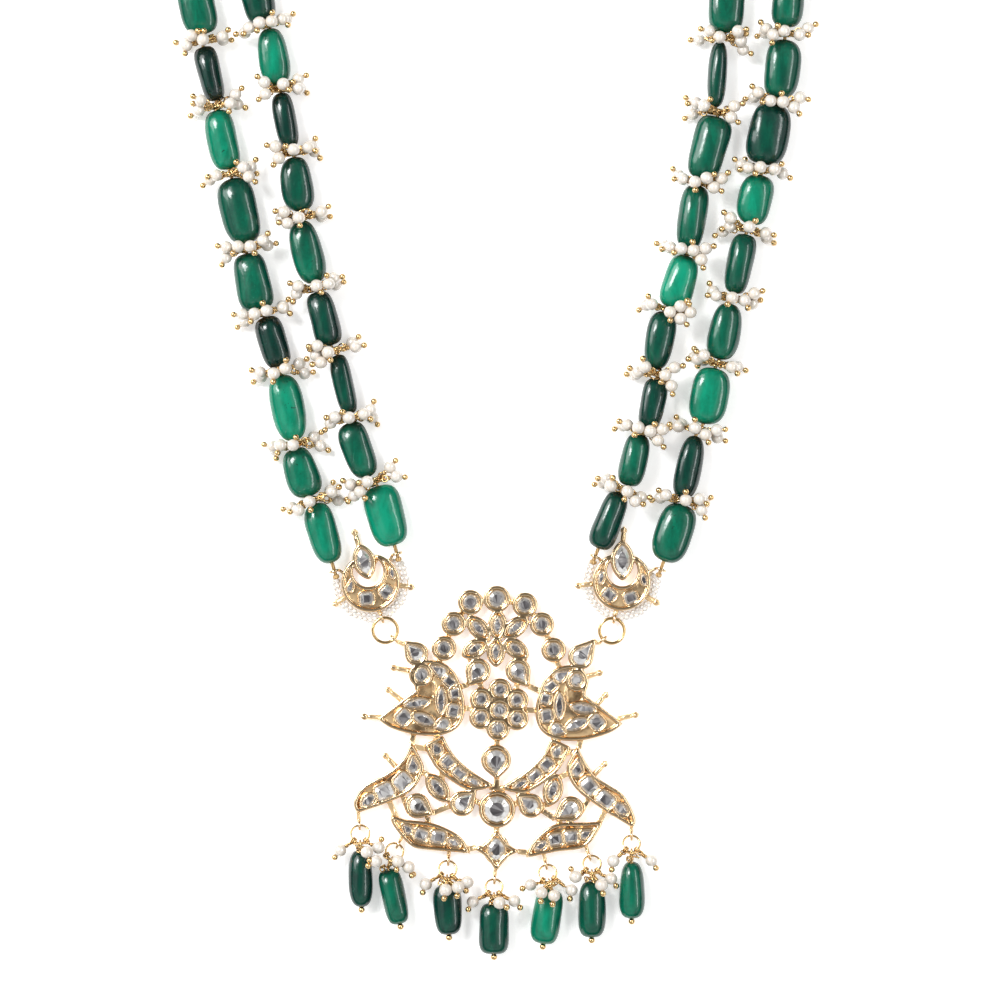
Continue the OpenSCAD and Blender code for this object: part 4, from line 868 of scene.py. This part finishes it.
# Leaves: smooth sides between sharp corners. Each side ends where the next begins
BIRD = [
    [(-30.1, 0.25), (-26.25, 3.25), (-22.5, 6)], [(-20.5, 7.5), (-21.5, 11.5)],
    [(-19, 15), (-14.5, 14.5), (-11, 12), (-8.9, 7), (-8.4, 2), (-10, -1.75), (-14, -3.7), (-20, -3.8),
     (-26.5, -2.1)]]
NOTCH = [[(-20.6, 8.2), (-16.6, 9.6), (-16, 7), (-16.5, 5.5), (-20, 6.2)]]
SASH = [
    [(-18.5, -6.25), (-17, -9.5), (-14.5, -13), (-8.25, -17.25), (-4.5, -17.5)],
    [(-1, -16.5), (-5.75, -13.5), (-9.5, -10.5), (-12, -7.5)], [(-13.75, -4)]]
LEAVES = [
    [[(-21.75, -5.5), (-19.25, -10), (-18.75, -12.75), (-21.5, -17.5), (-27.5, -20.6)],
     [(-35.25, -23.25), (-36, -20.75), (-33.75, -16.75), (-27.25, -13), (-23.5, -9.5)]],
    [[(20, -6.75), (21.25, -9.5), (24.25, -14), (28, -16.5), (31.5, -19), (34.25, -24.5)],
     [(33.75, -27), (30.5, -25), (26.75, -22.75), (19.75, -17.5), (17.25, -12.5), (18.25, -9.5)]],
    [[(-26.75, -23.75), (-26.25, -26.25), (-22, -31.25), (-18.25, -32.4), (-10.75, -33)],
     [(-7, -33.5), (-9.5, -29.25), (-15.75, -26.1), (-23.25, -25)]],
    [[(26, -25.5), (25.5, -27), (21.75, -31.75), (14.25, -33)],
     [(7, -34.5), (9.25, -30), (14.25, -26.25), (21.75, -25.75)]],
    [[(-6.4, -32.1), (-3.3, -31)], [(-0.3, -27.6), (2.5, -31.2)], [(5.7, -32.9), (2.3, -34.4)],
     [(-0.4, -38), (-3, -34.2)]]]
BIRD_SHIFT, SASH_SHIFT = (1.1, -1.25), (-0.4, -0.6)
RIM_INSET, RIM_R, RIM_Z = 0.4, 0.52, 2.12
BEZEL_OUT, BEZEL_R, BEZEL_Z = 0.24, 0.19, 2.26
LEAF_BEZEL_OUT, LEAF_BEZEL_R = 0.3, 0.28
# Edge of the birds' notch
NOTCH_OUT, NOTCH_R, NOTCH_Z = 0.1, 0.26, 2.05
# Tops of the solids' fields in millimetres, and what they are sunk to between the rims
SUNK_LEVELS, LEVEL_SLACK = ((2.7, 2.0), (2.2, 1.85)), 0.004
# Tubes: height, radii from the tip to the root and where they are, and the ring at the tip
STUB_Z, STUB_RADII, STUB_PLACES = 1.35, [0.42, 0.6, 0.68, 0.66, 0.7], (0.75, 1.2, 1.8, 2.6)
STUB_RING_R, STUB_RING_WIRE = 0.56, 0.31


def arc(centre, radius, first, last, count):
    return [(centre[0] + radius * math.cos(a), centre[1] + radius * math.sin(a))
            for a in np.linspace(math.radians(first), math.radians(last), count)]


def turned(points, x, y, turn):
    c, s = cos_sin(turn)
    return [(x + px * c - py * s, y + px * s + py * c) for px, py in points]


def marquise(x, y, length, width, turn):
    r = (length ** 2 + width ** 2) / (4 * width)
    half = math.degrees(math.asin(length / 2 / r))
    top = arc((0, width / 2 - r), r, 90 + half, 90 - half, 16)
    return turned(top[:-1] + [(-px, -py) for px, py in top[:-1]], x, y, turn)


def pear(x, y, r, tip_x, tip_y):
    reach = math.hypot(tip_x - x, tip_y - y)
    open_at = math.degrees(math.acos(r / reach))
    points = arc((0, 0), r, open_at, 360 - open_at, 30) + [(reach, 0)]
    return turned(points, x, y, math.degrees(math.atan2(tip_y - y, tip_x - x)))


def smooth_outline(sides, steps=6):
    out = []
    for side, following in zip(sides, sides[1:] + sides[:1]):
        p = [np.array(q, float) for q in side + following[:1]]
        for i in range(len(p) - 1):
            a, b, c, d = p[max(i - 1, 0)], p[i], p[i + 1], p[min(i + 2, len(p) - 1)]
            for k in range(steps):
                t = k / steps
                out.append((2 * b + (c - a) * t + (2 * a - 5 * b + 4 * c - d) * t * t
                            + (3 * b - a - 3 * c + d) * t ** 3) / 2)
    return out


def mirrored(points, shift):
    return [(shift[0] - p[0], shift[1] + p[1]) for p in points][::-1]


def crescent_outline(centre, hole, middle, half):
    """Outer arc from horn to horn and back along the hole."""
    ends = []
    for a in (middle + half, middle - half):
        way = np.array(cos_sin(a))
        off = np.array(hole) - centre
        along = -np.dot(off, way) + math.sqrt(np.dot(off, way) ** 2 - np.dot(off, off) + CRESCENT_R ** 2)
        p = off + along * way
        ends.append(math.degrees(math.atan2(p[1], p[0])) % 360)
    outer = arc(centre, CRESCENT_R, ends[0], ends[1] + 360, 60)
    return outer + arc(hole, HOLE_R, middle - half + 360, middle + half, 40)


def resampled(points, step):
    """Closed outline at an even step."""
    p = np.vstack([points, points[:1]])
    lengths = np.concatenate([[0], np.cumsum(norm(np.diff(p, axis=0), axis=1))])
    at = np.linspace(0, lengths[-1], max(int(lengths[-1] / step), 8), endpoint=False)
    return np.column_stack([np.interp(at, lengths, p[:, k]) for k in (0, 1)])


def inset(points, depth, step=0.25):
    """Outline moved inward; a negative depth moves it outward."""
    p = resampled(points, step)
    x, y = p[:, 0], p[:, 1]
    if np.sum(x * np.roll(y, -1) - np.roll(x, -1) * y) < 0:
        p = p[::-1]
    ahead = np.roll(p, -1, 0) - np.roll(p, 1, 0)
    ahead /= norm(ahead, axis=1)[:, None]
    moved = p + depth * np.column_stack([-ahead[:, 1], ahead[:, 0]])
    near = norm(moved[:, None] - p[None], axis=2).min(axis=1)
    kept = moved[near > abs(depth) * 0.95]
    for _ in range(2):
        kept = (np.roll(kept, 1, 0) + 2 * kept + np.roll(kept, -1, 0)) / 4
    return kept


def flat_ring(shape, path, height, radius, sides):
    """Closed wire along an outline at one height."""
    tube(shape, np.column_stack([path, np.full(len(path), height)]), radius, sides, closed=True)


def rim(shape, points):
    flat_ring(shape, inset(points, RIM_INSET), RIM_Z, RIM_R, 10)


def pendant_rims():
    """Plump rims round every setting and leaf of the pendant."""
    shape = Shape()
    outlines = [arc((x, y), d / 2, 0, 350, 36) for x, y, d in ROUNDS]
    outlines += [marquise(*row) for row in MARQUISES] + [pear(*row) for row in PEARS]
    bird, sash = smooth_outline(BIRD), smooth_outline(SASH)
    outlines += [bird, mirrored(bird, BIRD_SHIFT), sash, mirrored(sash, SASH_SHIFT)]
    for points in outlines + [smooth_outline(leaf) for leaf in LEAVES]:
        rim(shape, points)
    notch = smooth_outline(NOTCH)
    for points in (notch, mirrored(notch, BIRD_SHIFT)):
        flat_ring(shape, inset(points, -NOTCH_OUT), NOTCH_Z, NOTCH_R, 8)
    return shape


def crescent_rims(side):
    shape = Shape()
    rim(shape, crescent_outline(*CRESCENTS[side][:4]))
    rim(shape, marquise(*CRESCENT_MARQUISES[side]))
    return shape


def evaluated(obj):
    return obj.evaluated_get(bpy.context.evaluated_depsgraph_get())


def cast_gold(node_name, shape, voxel, target):
    """The node's solid, sunk between plump rims and fused with them as cast and soldered metal."""
    mesh = NODES[node_name].data.copy()
    for v in mesh.vertices:
        for level, sunk in SUNK_LEVELS:
            if abs(v.co.z - level * MM) < LEVEL_SLACK * MM:
                v.co.z = sunk * MM
    obj = linked(node_name + "_cast", mesh)
    rims = bpy.data.meshes.new("rims")
    rims.from_pydata(place(np.concatenate(shape.points)).tolist(), [], shape.faces)
    both = bmesh.new()
    both.from_mesh(mesh)
    both.from_mesh(rims)
    both.to_mesh(mesh)
    both.free()
    bpy.data.meshes.remove(rims)
    remesh = obj.modifiers.new("remesh", "REMESH")
    remesh.mode = "VOXEL"
    remesh.voxel_size = voxel
    soften = obj.modifiers.new("soften", "SMOOTH")
    soften.factor = 0.5
    soften.iterations = 3
    triangles = len(evaluated(obj).data.polygons) * 2
    thin = obj.modifiers.new("thin", "DECIMATE")
    thin.ratio = min(target / triangles, 1.0)
    done = bpy.data.meshes.new_from_object(evaluated(obj))
    done.validate()
    obj.modifiers.clear()
    obj.data = done
    done.materials.clear()
    done.materials.append(GOLD)
    done.shade_smooth()
    hand_over(obj, [node_name])


# Node, its rims, the remesh's grain and the most triangles
cast_gold("pendant_frame", pendant_rims(), 0.16 * MM, 160000)
cast_gold("left_crescent", crescent_rims(0), 0.15 * MM, 42000)
cast_gold("right_crescent", crescent_rims(1), 0.15 * MM, 42000)

# How much larger than in the solids the stones are, by a part of the node's name
GROWTH = {"crescent": 1.22, "base_stone": 1.18, "sash": 1.16, "leaf": 1.16, "bird": 1.12, "centre": 1.0}
OTHER_GROWTH = 1.06


def cut_stones(name, node):
    """The node's stones, each grown about its middle to fill its setting, and their outlines in the plan."""
    joined = bmesh.new()
    joined.from_mesh(node.data)
    bmesh.ops.remove_doubles(joined, verts=joined.verts, dist=1e-7)
    grown = next((k for part, k in GROWTH.items() if part in name), OTHER_GROWTH)
    left, outlines = dict.fromkeys(joined.verts), []
    while left:
        stack, island = [left.popitem()[0]], []
        while stack:
            v = stack.pop()
            island.append(v)
            for w in [e.other_vert(v) for e in v.link_edges]:
                if w in left:
                    del left[w]
                    stack.append(w)
        low = min(v.co.z for v in island) + 0.01 * MM
        centre = np.mean([v.co[:2] for v in island if v.co.z < low], axis=0)
        for v in island:
            v.co.xy = centre + (np.array(v.co[:2]) - centre) * grown
        ring = np.array([v.co[:2] for v in island if v.co.z < low])
        order = np.argsort(np.arctan2(*(ring - centre).T[::-1]))
        outlines.append(ring[order] / MM + MIDDLE[:2])
    mesh = bpy.data.meshes.new(name + "_cut")
    joined.to_mesh(mesh)
    joined.free()
    mesh.shade_flat()
    mesh.materials.append(KUNDAN)
    hand_over(linked(name + "_cut", mesh), [name])
    return outlines


def bezels():
    """Thin gold lips round the stones, and the short tubes with a ring at the tip."""
    shape = Shape()
    for name, obj in list(NODES.items()):
        if name.endswith(("_stones", "_stone")):
            leaf = any(part in name for part in ("bird", "sash", "leaf", "base_stones"))
            out, radius = (LEAF_BEZEL_OUT, LEAF_BEZEL_R) if leaf else (BEZEL_OUT, BEZEL_R)
            for ring in cut_stones(name, obj):
                flat_ring(shape, inset(ring, -out, 0.3), BEZEL_Z, radius, 8)
    for row in STUBS:
        tip, root = np.array([*row[:2], STUB_Z]), np.array([*row[2:], STUB_Z])
        way = (root - tip) / norm(root - tip)
        side = np.array([-way[1], way[0], 0])
        tube(shape, [tip + way * t for t in STUB_PLACES] + [root], STUB_RADII, 12)
        torus(shape, tip + way * 0.15, side * 0.25 + (0, 0, 1), STUB_RING_R, STUB_RING_WIRE, 20, 10)
    shape.piece("stone_bezels", GOLD, "gold", ["pendant_frame", "left_crescent", "right_crescent"])


bezels()

# The solids that show as they are
for name, obj in NODES.items():
    if name.endswith("_thread") or name == "clasp":
        obj.data.materials.clear()
        obj.data.materials.append(GOLD if name == "clasp" else CORD)

# Floor, light and surroundings, in metres
FLOOR_HALF, FLOOR_DROP = 3.0, 0.00005
floor_mesh = bpy.data.meshes.new("floor")
corners = [(x * FLOOR_HALF, y * FLOOR_HALF, 0) for x, y in ((-1, -1), (1, -1), (1, 1), (-1, 1))]
floor_mesh.from_pydata(corners, [], [(0, 1, 2, 3)])
floor = linked("floor", floor_mesh)
floor.location.z = -FLOOR_DROP
floor_material, _, floor_shader = new_material("pale_floor")
feed(floor_shader, {
    "Base Color": (0.94, 0.94, 0.94), "Roughness": 0.9, "Specular IOR Level": 0.0,
    "Emission Color": (1.0, 1.0, 1.0), "Emission Strength": 0.42})
floor_mesh.materials.append(floor_material)

LAMPS_AIM = (0, -0.03, 0)


def area_light(name, at, width, depth, power):
    """A rectangular lamp that points at the pendant."""
    light = bpy.data.lights.new(name, "AREA")
    light.energy = power
    light.shape = "RECTANGLE"
    light.size = width
    light.size_y = depth
    obj = linked(name, light)
    obj.location = at
    obj.rotation_euler = (Vector(LAMPS_AIM) - Vector(at)).to_track_quat("-Z", "Y").to_euler()


area_light("key", (-0.95, 0.6, 0.85), 1.1, 0.8, 13.0)
area_light("right_strip", (0.72, 0.0, 0.9), 1.5, 0.13, 5.0)
area_light("lamp", (-0.6, 0.45, 1.06), 0.32, 0.32, 8.0)

world = bpy.data.worlds.new("studio")
bpy.context.scene.world = world
tree, background = fresh_tree(world, "ShaderNodeOutputWorld", "ShaderNodeBackground")
way = split_xyz(tree.nodes.new("ShaderNodeTexCoord").outputs["Generated"])
height_in_sky = maths("MULTIPLY_ADD", way["Z"], 0.5, 0.5)
# Dark round the horizon, pale above it
dome = ramp(height_in_sky, [
    (0.0, 0.8), (0.49, 0.8), (0.5, (0.05, 0.04, 0.03)), (0.6, (0.06, 0.05, 0.04)), (0.67, (0.3, 0.27, 0.24)),
    (0.72, 1.25), (0.8, 1.25), (0.84, (0.7, 0.69, 0.68)), (0.88, 1.3), (1.0, 1.3)])
# Overhead the dome is two long panels either side of a dark gap that runs up the table
panels = ramp(maths("MULTIPLY_ADD", way["X"], 0.5, 0.5), [
    (0.2, 1.5), (0.31, 1.3), (0.36, (0.36, 0.34, 0.32)), (0.5, (0.26, 0.25, 0.24)),
    (0.63, (0.36, 0.34, 0.32)), (0.66, 1.7), (0.7, 1.7), (0.74, 0.7)])
overhead = graded(height_in_sky, 12.0, -10.8)
sky = mix(overhead, dome, panels)
# Beyond the clasp the room is dark, so walls that face that way draw dark lines
far_side = graded(way["Y"], 2.2, -0.55)
sky = mix(far_side, sky, (0.05, 0.04, 0.03), 0.8)
feed(background, {"Color": sky, "Strength": 0.6})

bpy.context.scene.view_settings.view_transform = "Standard"
